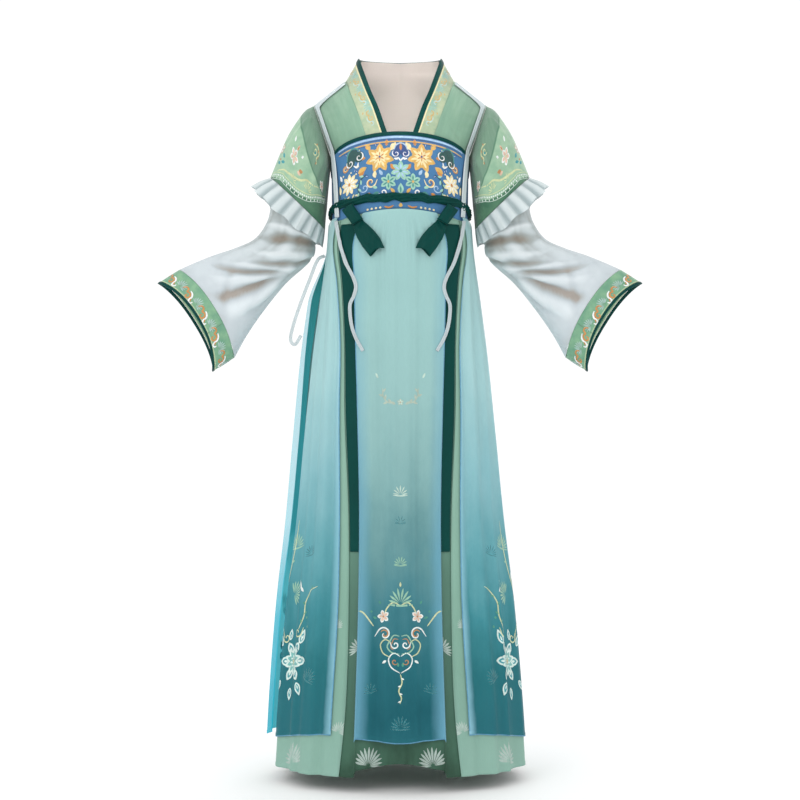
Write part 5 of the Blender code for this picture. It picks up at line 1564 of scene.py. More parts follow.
def make_lower_sleeve(mirror, word, turns):
    """The sheer trumpet sleeve with long folds that run from the elbow to the cuff."""
    coarse = ring_points(LOWER_RINGS, SLEEVE_STEPS)
    rows = 110
    tube = more_rings(coarse, rows)
    rings = np.linspace(0, len(LOWER_RINGS) - 1, rows)
    away = tube - tube.mean(axis=1, keepdims=True)
    away /= np.linalg.norm(away, axis=2, keepdims=True)
    total = np.zeros((rows, SLEEVE_STEPS))
    for turn, half_width, ring, reach, depth in SLEEVE_FOLDS:
        around = (turns - turn + 0.5) % 1.0 - 0.5
        total += depth * soft_bump((rings - ring) / reach)[:, None] * soft_bump(around / half_width)[None, :]
    total -= FOLD_SINK * soft_step(total / 0.001)
    total += 1.25 * tube_creases(rings, turns, SLEEVE_CREASES)
    ends = soft_step((rings - 0.2) / 1.2) * soft_step((len(LOWER_RINGS) - 1 - rings) / 0.7)
    total += small_waves(total.shape, (10, 14), 0.0006, 23) * np.sin(math.pi * turns)[None, :]
    tube = tube + away * (total * ends[:, None])[..., None]
    # Fold heights, from trough to ridge, that the chiffon's painted shade and highlight follow.
    heights = np.clip(0.5 + (total + FOLD_SINK) * ends[:, None] / 0.014, 0, 1)
    thing = cloth_mesh(f"sleeve_lower_cloth_{word}", tube * mirror, None, CHIFFON, closed=True, folds=heights)
    finish_piece(thing, [f"sleeve_lower_{word}"])


# Chest band, belt and skirt


def make_bodice():
    def under_binding(lines):
        return bodice_top(lines) + BINDING_WIDTH

    made = {}
    gap = SIDE_SEAM_GAP
    for word, first, last, columns in (
        ("front", -SIDE_LINE + gap, SIDE_LINE - gap, 150),
        ("back", SIDE_LINE + gap, 2 * BACK_LINE - SIDE_LINE - gap, 130),
    ):
        ease = corner_ease if word == "front" else None
        waist = span_of(first, last, columns)
        lines = line_of(waist)
        share = np.linspace(0, 1, 34)[:, None]
        drop = under_binding(lines)[None, :] * (1 - share) + skirt_top(lines)[None, :] * share
        line = np.broadcast_to(lines, drop.shape)
        pinch = 0.0011 * soft_bump((drop - ribbon_drop(lines)[None, :]) / 0.016)
        tucks = 1 + 0.5 * np.sin(waist * 420.0 + 3 * np.sin(waist * 60.0))[None, :]
        shift = (ease(line, drop) if ease else 0.0) - pinch * tucks
        outer = skirt(line, drop, shift)
        thing = cloth_mesh(f"bodice_{word}_cloth", outer, skirt(line, drop, shift - THIN), BODICE_CLOTH)
        finish_piece(thing, [f"bodice_{word}"])
        made[word] = open_shell(outer, grid_normals(outer, False, (0.0, 0.0, -0.2)))
        place = np.linspace(-1, 1, 9)[:, None]
        drop = (bodice_top(lines) + BINDING_WIDTH / 2)[None, :] + place * BINDING_WIDTH / 2
        line = np.broadcast_to(lines, drop.shape)
        round_off = np.sqrt(np.clip(1 - place**2, 0, 1))
        shift = (ease(line, drop) if ease else 0.0) + 0.0002 + 0.0012 * round_off
        outer = skirt(line, drop, shift)
        inner = skirt(line, drop, shift - 0.0006 - 0.0019 * round_off)
        thing = cloth_mesh(f"bodice_binding_{word}_cloth", outer, inner, DARK_CLOTH)
        finish_piece(thing, [f"bodice_binding_{word}"])
    return made


def span_of(first, last, columns):
    """Even metres round the waist between two lines; past the back they turn negative."""
    start = float(waist_at(np.array(float(first))))
    end = float(waist_at(np.array(float(min(last, BACK_LINE)))))
    if last > BACK_LINE:
        end = 2 * HALF_WAIST - float(waist_at(np.array(2.0 * BACK_LINE - last)))
    waist = np.linspace(start, end, columns)
    return np.where(waist > HALF_WAIST, waist - 2 * HALF_WAIST, waist)


def make_belt():
    """The ruched belt: a soft ring with wandering creases."""
    columns, rows = 420, 22
    waist = -HALF_WAIST + 2 * HALF_WAIST * np.arange(columns) / columns
    lines = line_of(waist)
    place = np.linspace(-1, 1, rows)[:, None]
    turn = waist / HALF_WAIST * math.pi
    middle = ribbon_drop(lines) + 0.0012 * np.sin(turn * 17) + 0.0008 * np.sin(turn * 31 + 1)
    drop = middle[None, :] + place * RIBBON_WIDTH / 2 * (1 + 0.10 * np.sin(turn * 23)[None, :])
    line = np.broadcast_to(lines, drop.shape)
    puff = 0.0042 * np.sqrt(np.clip(1 - place**2, 0, 1))
    ridges = 0.0011 * np.sin(place * 7.5 + 2.2 * np.sin(turn * 9)[None, :] + 1.3 * np.sin(turn * 21)[None, :])
    tucks = 0.0007 * np.sin(turn * 64 + 5 * place + 2 * np.sin(turn * 13)[None, :])
    edge = np.sqrt(np.clip(1 - place**2, 0, 1))
    out = RIBBON_OUT + puff + (ridges + tucks) * edge
    below_vest = soft_step((np.abs(lines) - 4.92) / 0.28)[None, :]
    out = np.minimum(out, VEST_OUT - 0.0008 + 0.008 * (1 - below_vest))
    thing = cloth_mesh("chest_ribbon_cloth", skirt(line, drop, out),
                       skirt(line, drop, RIBBON_OUT - 0.0008 + 0 * out), RIBBON_CLOTH, closed=True)
    finish_piece(thing, ["chest_ribbon"])


def layer_piece(name, nodes, material, first, last, top, bottom, out, thick, columns, rows,
                extra=None):
    outer, inner = skirt_grids(first, last, top, bottom, out, thick, columns, rows, extra)
    thing = cloth_mesh(name, outer, inner, material)
    finish_piece(thing, nodes)
    return open_shell(outer, grid_normals(outer, False, (0.0, 0.0, -0.8)))


def make_skirt():
    made = {}
    made["front"] = layer_piece(
        "underskirt_front_cloth", ["underskirt_front"], FRONT_SHEET_SHADED_CLOTH, -VEST_LINE, VEST_LINE,
        skirt_top, hem, 0.0, THIN, 130, 100, centre_fold)
    made["back"] = layer_piece(
        "underskirt_back_cloth", ["underskirt_back"], UNDERSKIRT_CLOTH, SHEET_LINE,
        2 * BACK_LINE - SHEET_LINE, skirt_top, hem, SHEET_OUT, THIN, 280, 100)

    def apron_hem(lines):
        return APRON_HEM + APRON_SCALLOP["depth"] * np.cos(lines * APRON_SCALLOP["pace"])

    made["apron"] = layer_piece(
        "apron_cloth", ["apron"], APRON_CLOTH, -APRON_LINE, APRON_LINE, skirt_top, apron_hem,
        APRON_OUT, 0.0, 110, 130)
    return made


def make_tail(side, word):
    """A belt end that hangs between the apron and the back sheet."""
    place = np.linspace(0, 1, 15)
    lines = side * (TAIL_LINE + (TAIL_OUTER_LINE - TAIL_LINE) * place)
    share = np.linspace(0, 1, 110)[:, None]
    drop = TAIL_TOP_DROP + (TAIL_END_DROP - TAIL_TOP_DROP) * share + 0 * lines[None, :]
    line = np.broadcast_to(lines, drop.shape)
    roll = 0.0006 * np.sin(math.pi * place)[None, :] * np.sin(share * 9 + 1.5)
    shift = TAIL_OUT + roll
    thing = cloth_mesh(f"ribbon_tail_cloth_{word}", skirt(line, drop, shift),
                       skirt(line, drop, shift - THIN), RIBBON_CLOTH)
    finish_piece(thing, [f"ribbon_tail_{word}"])


def over_front(x, drop, side, out):
    """Points over the skirt's front at half widths x."""
    return skirt(side * line_at(np.abs(x), drop), drop, out)


def make_bow(side, word):
    """The knot, a wrapped and creased pad, and the loop, a soft flat tube with an open end."""
    lean = math.radians(KNOT["lean"])
    share = np.sin(np.linspace(-math.pi / 2, math.pi / 2, 26)) / 2
    along, across = np.meshgrid(share * KNOT["length"], share * KNOT["width"], indexing="ij")
    x = KNOT["x"] + along * math.sin(lean) + across * math.cos(lean)
    drop = KNOT["drop"] - along * math.cos(lean) + across * math.sin(lean)
    u, v = across / KNOT["width"] * 2, along / KNOT["length"] * 2
    round_off = np.clip((1 - np.abs(u) ** 4) * (1 - np.abs(v) ** 4), 0, 1) ** 0.5
    creased = 0.0009 * np.sin(u * 7.0 + 1.2 * v) + 0.0006 * np.sin(u * 3.0 - 4.0 * v)
    rise = KNOT_EDGE + KNOT_THICK * round_off + creased * round_off
    top = over_front(x, drop, side, KNOT_OUT + rise)
    thing = cloth_mesh(f"bow_knot_cloth_{word}", top, over_front(x, drop, side, KNOT_OUT + 0 * rise), RIBBON_CLOTH)
    finish_piece(thing, [f"bow_knot_{word}"])
    rows, steps = 60, 64
    table = smooth_rows(np.arange(len(LOOP)), np.array(LOOP), np.linspace(0, len(LOOP) - 1, rows))
    heading = np.gradient(table[:, :2], axis=0)
    heading /= np.linalg.norm(heading, axis=1, keepdims=True)
    turn = 2 * math.pi * np.arange(steps)[None, :] / steps
    run = np.linspace(0, 1, rows)[:, None]
    grids = []
    for less in (0.0, THIN):
        dent = 0.0011 * np.sin(3 * turn + 2.5 * run) * soft_step(run * 3) + 0.0007 * np.sin(7 * turn - 3 * run)
        across = (table[:, 2:3] / 2 - less) * np.cos(turn)
        height = table[:, 3:4] / 2 - less
        rise = table[:, 3:4] / 2 + height * np.sin(turn) + dent * (np.sin(turn) > -0.2) * soft_step(run * 2)
        at_x = table[:, 0:1] + across * heading[:, 1:2]
        at_drop = table[:, 1:2] - across * heading[:, 0:1] + 0.0035 * run**6 * np.cos(2 * turn + 0.5)
        grids.append(over_front(at_x, at_drop, side, LOOP_OUT + rise))
    thing = cloth_mesh(f"bow_loop_cloth_{word}", grids[0], grids[1], RIBBON_CLOTH, closed=True)
    finish_piece(thing, [f"bow_loop_{word}"])


def two_rolls(columns, height):
    """A narrow strip's section: two soft rolls with a groove between them."""
    place = np.linspace(0, 1, columns)
    return height * np.abs(np.sin(2 * math.pi * place)) ** 0.7


def make_front_tie(side, word):
    run = smooth_rows(np.arange(len(TIE)), np.array(TIE), np.linspace(0, len(TIE) - 1, 130))
    heading = np.gradient(run, axis=0)
    heading /= np.linalg.norm(heading, axis=1, keepdims=True)
    across = np.linspace(-TIE_WIDTH / 2, TIE_WIDTH / 2, 11)[None, :]
    x = run[:, :1] + across * heading[:, 1:]
    drop = run[:, 1:] - across * heading[:, :1]
    section = two_rolls(11, 0.0011)[None, :]
    outer = over_front(x, drop, side, TRIM_OUT - 0.0004 + section)
    inner = over_front(x, drop, side, TRIM_OUT - 0.0010 + 0 * x)
    thing = cloth_mesh(f"vest_tie_cloth_{word}", outer, inner, SHEER_TIE)
    finish_piece(thing, [f"vest_tie_{word}"])


def make_side_tie():
    sewn = skirt([SIDE_TIE_LINE], [SIDE_TIE_DROP], SIDE_TIE_OUT)
    coarse = np.concatenate([sewn, [(x, y, -drop) for x, y, drop in SIDE_TIE]])
    run = smooth_rows(np.arange(len(coarse)), coarse, np.linspace(0, len(coarse) - 1, 90))
    across = np.cross(np.gradient(run, axis=0), (0.0, 1.0, 0.0))
    across /= np.linalg.norm(across, axis=1, keepdims=True)
    place = np.linspace(-0.5, 0.5, 9)[None, :, None] * TIE_WIDTH
    middle = run[:, None, :] + across[:, None, :] * place
    bulge = two_rolls(9, 0.0009)[None, :, None]
    outer = middle - np.array((0.0, 1.0, 0.0)) * bulge
    thing = cloth_mesh("side_tie_cloth", outer, middle + np.array((0.0, 0.0009, 0.0)), SHEER_TIE)
    finish_piece(thing, ["side_tie_loop"])


# Over-vest


def make_vest_front(side, word):
    def top(at):
        share = soft_step((np.abs(at) - VEST_LINE) / (SIDE_LINE - VEST_LINE))
        return VEST_TOP_DROP + (VEST_SIDE_DROP - VEST_TOP_DROP) * share

    ends = sorted((side * VEST_LINE, side * (SIDE_LINE - SLIT_GAP)))
    return layer_piece(
        f"vest_front_cloth_{word}", [f"vest_front_{word}"], VEST_CLOTH, ends[0], ends[1], top,
        vest_hem, VEST_OUT, 0.0, 60, 130)


def make_strap(side, word):
    ridge_x = np.linspace(NECK_SIDE[0] + STRAP_RIDGE["from_neck"], SHOULDER_TIP[0] - STRAP_RIDGE["from_tip"], 4)
    outer = [(x, ridge_drop(x) + STRAP_RIDGE["under"]) for x in ridge_x]
    inner = [(x - STRAP_RIDGE["narrow"], ridge_drop(x) + STRAP_RIDGE_FALL) for x in ridge_x[:-1]]
    tip_x = ridge_x[-1]
    inner.append((tip_x - STRAP_BEND["narrow"], ridge_drop(tip_x) + STRAP_BEND["fall"]))
    for drop in STRAP_ARMHOLE_DROPS:
        x = float(armhole_x(drop)) - STRAP_ARMHOLE["inset"]
        outer.append((x, drop))
        inner.append((x - STRAP_WIDTH, drop + STRAP_ARMHOLE["slant"]))
    upper = np.array([outer, inner])
    lower = np.array([[(x, drop) for drop, x in STRAP_CHEST],
                      [(x - STRAP_WIDTH, drop) for drop, x in STRAP_CHEST]])
    count = 11
    place = np.linspace(0, 1, count)[None, :, None]
    upper = upper[0][:, None] * (1 - place) + upper[1][:, None] * place
    lower = lower[0][:, None] * (1 - place) + lower[1][:, None] * place
    section = two_rolls(count, 0.0012)[None, :]
    grids = []
    for extra in (section - 0.0005, 0 * section - 0.0009):
        top = torso_points(upper[..., 0], upper[..., 1], False, STRAP_OUT + extra)
        low = wrap(angle_at(lower[..., 0], lower[..., 1]), lower[..., 1], STRAP_LOW_OUT + extra)
        rows = np.concatenate([top, low])
        grids.append(smooth_rows(np.arange(len(rows)), rows, np.linspace(0, len(rows) - 1, 150)))
    mirror = np.array((side, 1.0, 1.0))
    thing = cloth_mesh(f"vest_strap_cloth_{word}", grids[0] * mirror, grids[1] * mirror, SHEER_TRIM)
    finish_piece(thing, [f"vest_strap_{word}"])


def make_vest_back():
    """The vest's back: from the shoulders over the belt, then free to the hem."""
    columns = 120
    waist = np.linspace(waist_at(np.array(5.0)), HALF_WAIST, columns)
    share = (line_of(waist) - SIDE_LINE) / (BACK_LINE - SIDE_LINE)
    curve = 1 - (1 - share) ** 2
    known = np.arange(BACK_COLUMNS + 1)
    ridge_x = np.linspace(SHOULDER_TIP[0], NECK_SIDE[0], RIDGE_COLUMNS + 1)
    neck = np.array([row[:2] for row in COLLAR_BACK])
    top_x = np.concatenate([ridge_x, neck[1:, 0]])
    top_drop = np.concatenate([ridge_drop(ridge_x), neck[1:, 1]])
    rows = np.arange(0, ARMHOLE_ROWS + 1, 2.0)
    outer = side_run(np.arange(ARMHOLE_ROWS + 2.0))
    x, drop = back_grid(np.arange(ARMHOLE_ROWS + 2.0) * SIDE_ROWS / (ARMHOLE_ROWS + 1), top_x, top_drop, outer)
    right = []
    for r in rows.astype(int):
        row_x = np.interp(share * BACK_COLUMNS, known, x[r])
        row_x = row_x * (1 - VEST_ARMHOLE_INSET / row_x[0])
        row_drop = np.interp(share * BACK_COLUMNS, known, drop[r])
        right.append(torso_points(row_x, row_drop, True, VEST_OUT + SHIRT_INSET))
    left = [row * (-1.0, 1.0, 1.0) for row in right]
    for edge, centre, first_line in VEST_UNDERARM:
        lines = first_line + (BACK_LINE - first_line) * share
        row_drop = edge + (centre - edge) * curve
        right.append(skirt(lines, row_drop, VEST_OUT))
        left.append(skirt(-lines, row_drop, VEST_OUT + slit_flare(-lines, row_drop)))
    known = np.arange(len(right))
    places = np.linspace(0, known[-1], 60)
    right, left = [smooth_rows(known, np.array(half), places) for half in (right, left)]
    last_edge, last_centre, last_line = VEST_UNDERARM[-1]
    lower_right, lower_left = [], []
    length = VEST_HEM_SIDE - last_edge
    for step in row_shares(110, length)[1:]:
        edge = last_edge + length * step
        centre = last_centre + (VEST_HEM_SIDE - last_centre) * step
        first_line = last_line + (SIDE_LINE + SLIT_GAP - last_line) * soft_step(step * 8)
        lines = first_line + (BACK_LINE - first_line) * share
        row_drop = edge + (centre - edge) * curve
        out = VEST_OUT + hem_lift(step, length)
        lower_right.append(skirt(lines, row_drop, out))
        lower_left.append(skirt(-lines, row_drop, out + slit_flare(-lines, row_drop)))
    right = np.concatenate([right, np.array(lower_right)])
    left = np.concatenate([left, np.array(lower_left)])
    grid = np.concatenate([right, left[:, -2::-1]], axis=1)
    thing = cloth_mesh("vest_back_cloth", grid, None, [VEST_BACK_CLOTH, VEST_SLIT_SHADE_AND_LIGHT,
                       VEST_EDGE_PAINTED_BACKLIGHT], zones=vest_edge_zones)
    finish_piece(thing, ["vest_back"])
    return open_shell(grid, grid_normals(grid, False, (0.0, -0.1, -0.6)))


# Prints and embroidery


def scroll(size, line_tone, rim_tone, lift=0):
    """A wave scroll along u: a line with a curled heart, and a paler rim that hooks past it."""
    line = [(-0.62, 0.04), (-0.52, -0.18), (-0.32, -0.20), (-0.20, -0.02), (-0.04, -0.10), (0.14, -0.03),
            (0.20, 0.15), (0.08, 0.27), (-0.06, 0.20), (-0.02, 0.08)]
    rim = [(-0.12, -0.24), (0.12, -0.20), (0.30, -0.04), (0.34, 0.16), (0.46, 0.30), (0.60, 0.24), (0.62, 0.08)]
    return placed([stroke(rim, 0.115, rim_tone, 24, (0.5, 0.5), lift),
                   stroke(line, 0.115, line_tone, 34, (0.5, 0.5), lift + 2),
                   stroke([(0.36, 0.02), (0.44, 0.16), (0.52, 0.14)], 0.07, line_tone, 10, (0.4, 0.4), lift + 2)],
                  size=size)


def arch_line(half, v, width, tone, lift=0, count=60):
    return stroke([(u, v) for u in np.linspace(-half, half, 25)], width, tone, count, (0.6, 0.6), lift)


def bodice_strokes():
    made = [arch_line(0.137, 0.0035, 0.0040, "sky"), arch_line(0.137, 0.0078, 0.0016, "navy", 1),
            arch_line(0.135, 0.0122, 0.0026, "gold", 1), arch_line(0.134, 0.0154, 0.0012, "navy", 1)]
    half = placed(round_flower(0.026, 7, "gold", "cream", "orange", 2, rings=2), 0.041, 0.042)
    half += placed(round_flower(0.012, 6, "cream", "orange", "navy", 12), 0.041, 0.040)
    for u, v, turn, size, tone in (
        (0.020, 0.029, -35, 0.018, "cream"), (0.028, 0.020, -5, 0.012, "orange"),
        (0.060, 0.024, 35, 0.016, "gold"), (0.070, 0.038, 75, 0.017, "orange"),
        (0.068, 0.056, 115, 0.019, "gold"), (0.072, 0.062, 125, 0.014, "orange"),
        (0.020, 0.056, -140, 0.014, "orange"), (0.050, 0.066, 170, 0.013, "cream"),
        (0.013, 0.046, -80, 0.010, "white"), (0.083, 0.050, 95, 0.009, "cream"),
    ):
        half += placed([petal(size, size * 0.62, tone, 0.0, 1, 1.1)], u, v, turn)
    half += placed(cloud(0.036, "white", "dark", 3, "teal"), 0.094, 0.034, 20)
    half += placed([curl(0.0085, 1.4, "orange", 0.0026, 4, 0.5, 0.006)], 0.116, 0.045)
    half += placed([curl(0.0060, 1.0, "cream", 0.0018, 5, 2.6)], 0.116, 0.045)
    half += placed(round_flower(0.019, 9, "cream", "white", "orange", 3, width=1.3), 0.106, 0.080)
    half += placed([petal(0.017, 0.008, "cream", 0, 2)], 0.131, 0.090, 8)
    half += placed([petal(0.014, 0.006, "white", 0, 2)], 0.126, 0.066, 25)
    half.append(stroke([(0.128, 0.062), (0.135, 0.080), (0.130, 0.100)], 0.0030, "dark", 12, (0.4, 0.3), 1))
    half += vine([(0.068, 0.070), (0.080, 0.078), (0.086, 0.094), (0.080, 0.110)], "dark", 0.0026, "mint", 0.010, 2, 2)
    half += vine([(0.122, 0.098), (0.112, 0.106), (0.098, 0.108), (0.088, 0.100)], "teal", 0.0022, "cream", 0.008, 2, 2)
    half += placed([curl(0.0110, 1.35, "cream", 0.0028, 3, 0.8, 0.006)], 0.059, 0.087)
    half += placed([curl(0.0070, 1.1, "orange", 0.0022, 4, 0.8)], 0.059, 0.087)
    half += placed([curl(0.0080, -1.2, "sky", 0.0022, 3, 2.2, 0.004)], 0.072, 0.096)
    half += placed(round_flower(0.015, 6, "mint", "teal", "gold", 4, width=1.2), 0.024, 0.090)
    for u, v, turn, tone in ((0.046, 0.100, 65, "mint"), (0.043, 0.109, 100, "teal"), (0.036, 0.076, 30, "sky"),
                             (0.060, 0.108, 110, "orange"), (0.070, 0.111, 95, "gold"), (0.012, 0.112, 40, "gold")):
        half += placed([petal(0.012, 0.0062, tone, 0, 3)], u, v, turn)
    half += placed([curl(0.0085, -1.3, "white", 0.0028, 6, 2.0)], 0.034, 0.110)
    for i in range(4):
        half += placed([dot(0.0022, "cream", 2)], 0.040 + 0.0085 * i, 0.1392)
    half.append(stroke([(0.014, 0.1370), (0.022, 0.1405), (0.032, 0.1380)], 0.0034, "orange", 12, (0.4, 0.4), 2))
    for u, v in ((0.083, 0.020), (0.102, 0.058), (0.090, 0.064), (0.122, 0.058), (0.050, 0.078), (0.013, 0.070),
                 (0.128, 0.108), (0.116, 0.114), (0.100, 0.118)):
        half += placed([dot(0.0018, "cream", 2)], u, v)
    for u, v, turn in ((0.086, 0.062, 40), (0.094, 0.060, -20), (0.080, 0.022, 70), (0.048, 0.020, 10),
                       (0.064, 0.076, 60), (0.096, 0.112, 80), (0.110, 0.022, 60)):
        half += placed([petal(0.009, 0.0040, "navy", 0, 1)], u, v, turn)
        half += placed([petal(0.006, 0.0026, "sky", 0.001, 2)], u, v, turn)
    made += both_sides(half)
    made += placed(cloud(0.030, "white", "navy", 3, "sky"), 0.0, 0.034)
    made += placed([petal(0.014, 0.010, "orange", 0, 4)], 0.0, 0.030)
    made += placed(round_flower(0.018, 7, "mint", "sky", "teal", 5, width=1.2), 0.0, 0.070)
    made += placed([petal(0.020, 0.012, "mint", 0, 3), petal(0.013, 0.006, "teal", 0.002, 5)], 0.0, 0.114)
    made += placed([petal(0.008, 0.0075, "gold", 0, 3)], 0.0, 0.1405)
    return made


def collar_strokes():
    made = []
    for i in range(6):
        u = 0.018 + 0.047 * i
        made += placed(fan_leaf(0.018, 9, 165, "teal_band", 0, False), u, 0.030)
        made += placed(scroll(0.025, "gold_band", "pale_band", 2), u + 0.024, 0.019, -12)
        made += placed([petal(0.006, 0.003, "gold_band", 0, 1)], u + 0.006, 0.010, 60)
    return both_sides(made)


def cuff_strokes():
    made = []
    for i in range(5):
        u = -0.100 + 0.0502 * i
        made += placed(scroll(0.030, "orange_band", "white", 2), u, 0.026, 6)
        made += placed(fan_leaf(0.017, 10, 170, "pale_band", 0, False), u + 0.0251, 0.028, 15)
    made.append(stroke([(0.036, 0.002), (0.037, 0.042)], 0.0012, "seam_band", 8, (1, 1), 0))
    return made


CAP_BEADS = [(-0.105, 0.178), (-0.0874, 0.1745), (-0.055, 0.1665), (-0.024, 0.1565), (0.004, 0.146), (0.032, 0.133),
             (0.060, 0.113), (0.088, 0.094)]


def cap_strokes():
    made = placed(round_flower(0.0135, 5, "print_white", "print_pink", "print_cream", 3), -0.036, 0.110, 10)
    made += placed([petal(0.013, 0.0055, "print_pink", 0, 2), petal(0.008, 0.0028, "print_rust", 0.002, 3)],
                   -0.034, 0.096, 8)
    made += placed([petal(0.012, 0.0065, "print_rust", 0, 2)], -0.012, 0.116, 55)
    made += placed([petal(0.011, 0.006, "print_pink", 0, 3)], -0.016, 0.121, 75)
    made += placed([petal(0.010, 0.0045, "print_white", 0, 2)], -0.018, 0.094, 35)
    made += placed([petal(0.011, 0.0046, "print_white", 0, 2)], -0.050, 0.092, -20)
    for u, v, turn in ((-0.062, 0.132, -60), (-0.070, 0.148, -75), (-0.056, 0.140, -100)):
        made += placed([petal(0.013, 0.0060, "print_teal", 0, 2)], u, v, turn)
    made += placed([petal(0.009, 0.0035, "print_rust", 0, 2)], -0.072, 0.140, -80)
    made += placed(round_flower(0.010, 5, "print_pink", "print_white", "print_rust", 3), -0.086, 0.118)
    made += vine([(0.000, 0.046), (0.014, 0.043), (0.024, 0.052), (0.020, 0.062), (0.026, 0.070)],
                 "print_cream", 0.0030, "print_rust", 0.006, 3, 2)
    made += placed([curl(0.0075, 1.2, "print_cream", 0.0024, 2, 1.0)], 0.010, 0.054)
    made += placed([petal(0.008, 0.004, "print_teal", 0, 2)], 0.012, 0.060, 10)
    made.append(stroke([(-0.070, 0.162), (-0.030, 0.142), (0.000, 0.124), (0.014, 0.112), (0.030, 0.110),
                        (0.050, 0.102)], 0.0036, "print_cream", 20, (0.3, 0.3), 1))
    made += placed(fan_leaf(0.016, 7, 150, "print_cream", 1, False), 0.020, 0.128)
    made += placed(fan_leaf(0.013, 6, 150, "print_cream", 1, False), -0.020, 0.144)
    made += placed(round_flower(0.009, 5, "print_white", "print_pink", "print_rust", 2), 0.060, 0.090)
    beads = curve_through(CAP_BEADS, 38)
    for i, (u, v) in enumerate(beads):
        made += placed([dot(0.0017, "print_white", 2)], u, v)
        if i % 2:
            made += placed([petal(0.0050, 0.0022, "print_white", 0, 1)], u + 0.002, v + 0.0065, 10)
    made.append(stroke(beads - (0.0, 0.0050), 0.0013, "print_cream", 38, (0.5, 0.5), 1))
    made.append(stroke(beads + (0.0, 0.0085), 0.0012, "print_pale", 38, (0.5, 0.5), 1))
    return made


def apron_strokes():
    half = vine([(0.012, 0.380), (0.024, 0.378), (0.034, 0.366), (0.036, 0.350)], "print_beige", 0.0024,
                "print_beige", 0.010, 2)
    half += placed([petal(0.010, 0.005, "print_beige"), ], 0.010, 0.382, 60)
    half += placed([petal(0.011, 0.004, "print_pale")], 0.045, 0.330, 25)
    half.append(stroke([(0.0, 0.768), (0.014, 0.762), (0.026, 0.772), (0.032, 0.786)], 0.0026, "print_cream", 16,
                       (0.4, 0.4)))
    half += placed(round_flower(0.0115, 5, "print_white", "print_pink", "print_rust", 2), 0.034, 0.788, 15)
    half.append(stroke([(0.092, 0.776), (0.078, 0.778), (0.066, 0.790), (0.054, 0.806)], 0.0028, "print_cream", 16,
                       (0.3, 0.4)))
    half += placed([curl(0.0150, 1.25, "print_white", 0.0028, 1, 4.4, 0.010)], 0.032, 0.822)
    half += placed([curl(0.0095, 1.2, "print_rust", 0.0026, 2, 4.6)], 0.031, 0.822)
    half.append(stroke([(0.002, 0.826), (0.012, 0.824), (0.020, 0.834), (0.026, 0.846), (0.018, 0.856),
                        (0.002, 0.860)], 0.0026, "print_mint", 20, (0.5, 0.4), 1))
    half += placed([curl(0.0080, -1.2, "print_white", 0.0026, 2, 1.4, 0.006)], 0.010, 0.842)
    half.append(stroke([(0.001, 0.864), (0.012, 0.858), (0.023, 0.868), (0.020, 0.882), (0.001, 0.896)], 0.0024,
                       "print_white", 20, (0.5, 0.4), 1))
    half += placed([curl(0.0065, 1.1, "print_rust", 0.0020, 2, 2.0)], 0.011, 0.874)
    half.append(stroke([(0.018, 0.838), (0.030, 0.832), (0.040, 0.840), (0.036, 0.856), (0.020, 0.866)], 0.0024,
                       "print_cream", 18, (0.4, 0.4), 1))
    half.append(stroke([(0.004, 0.832), (0.012, 0.831), (0.016, 0.838), (0.019, 0.847), (0.013, 0.852)], 0.0018,
                       "print_rust", 16, (0.4, 0.4), 1))
    half += placed([petal(0.010, 0.0050, "print_white", 0, 1)], 0.028, 0.872, 120)
    half += placed([petal(0.009, 0.0046, "print_green", 0, 1)], 0.004, 0.884, 10)
    half += placed([petal(0.008, 0.0045, "print_green", 0, 0)], 0.048, 0.792, 60)
    half += placed([petal(0.007, 0.0040, "print_green", 0, 0)], 0.040, 0.764, 30)
    half += placed([dot(0.0020, "print_green")], 0.058, 0.778)
    half += placed(fan_leaf(0.018, 6, 150, "print_faint"), 0.060, 0.930, 12)
    made = both_sides(half)
    made += placed(round_flower(0.006, 5, "print_beige", "print_pale", "print_rust"), 0.0, 0.378)
    made += placed(fan_leaf(0.018, 7, 165, "print_pale"), 0.0, 0.556)
    made += placed(fan_leaf(0.014, 6, 165, "print_faint"), 0.0, 0.610)
    made += placed(fan_leaf(0.016, 8, 170, "print_mint"), 0.0, 0.690)
    made += placed(fan_leaf(0.030, 8, 150, "print_mint", 1), 0.0, 0.764)
    made += placed([petal(0.009, 0.004, "print_cream", 0, 2)], 0.0, 0.732)
    made += vine([(0.0, 0.898), (0.003, 0.914), (-0.003, 0.930), (0.002, 0.944), (-0.001, 0.954)], "print_cream",
                 0.0026, "print_white", 0.006, 3, 1)
    made += placed(fan_leaf(0.024, 8, 160, "print_faint"), 0.0, 1.000)
    return made


def rosette(lift=0):
    """A broad dip-dyed flower with pointed lace lobes round it."""
    made = []
    for i in range(6):
        turn = 60 * i + 30
        made += placed([petal(0.026, 0.017, "print_lace", 0.016, lift, 1.0),
                        petal(0.019, 0.0105, "print_teal", 0.018, lift + 1, 1.0),
                        petal(0.011, 0.0050, "print_lace", 0.021, lift + 2, 1.0)], turn=turn)
        made += placed([dot(0.0024, "print_lace", lift + 2)], turn=turn)
    made += round_flower(0.027, 10, "print_lace", "print_sea", "print_teal", lift + 3, width=1.45)
    made += round_flower(0.0165, 9, "print_sea", "print_lace", "print_rust", lift + 7, width=1.3, turn=20)
    made += round_flower(0.0085, 5, "print_teal", "print_cream", "print_rust", lift + 11)
    return made


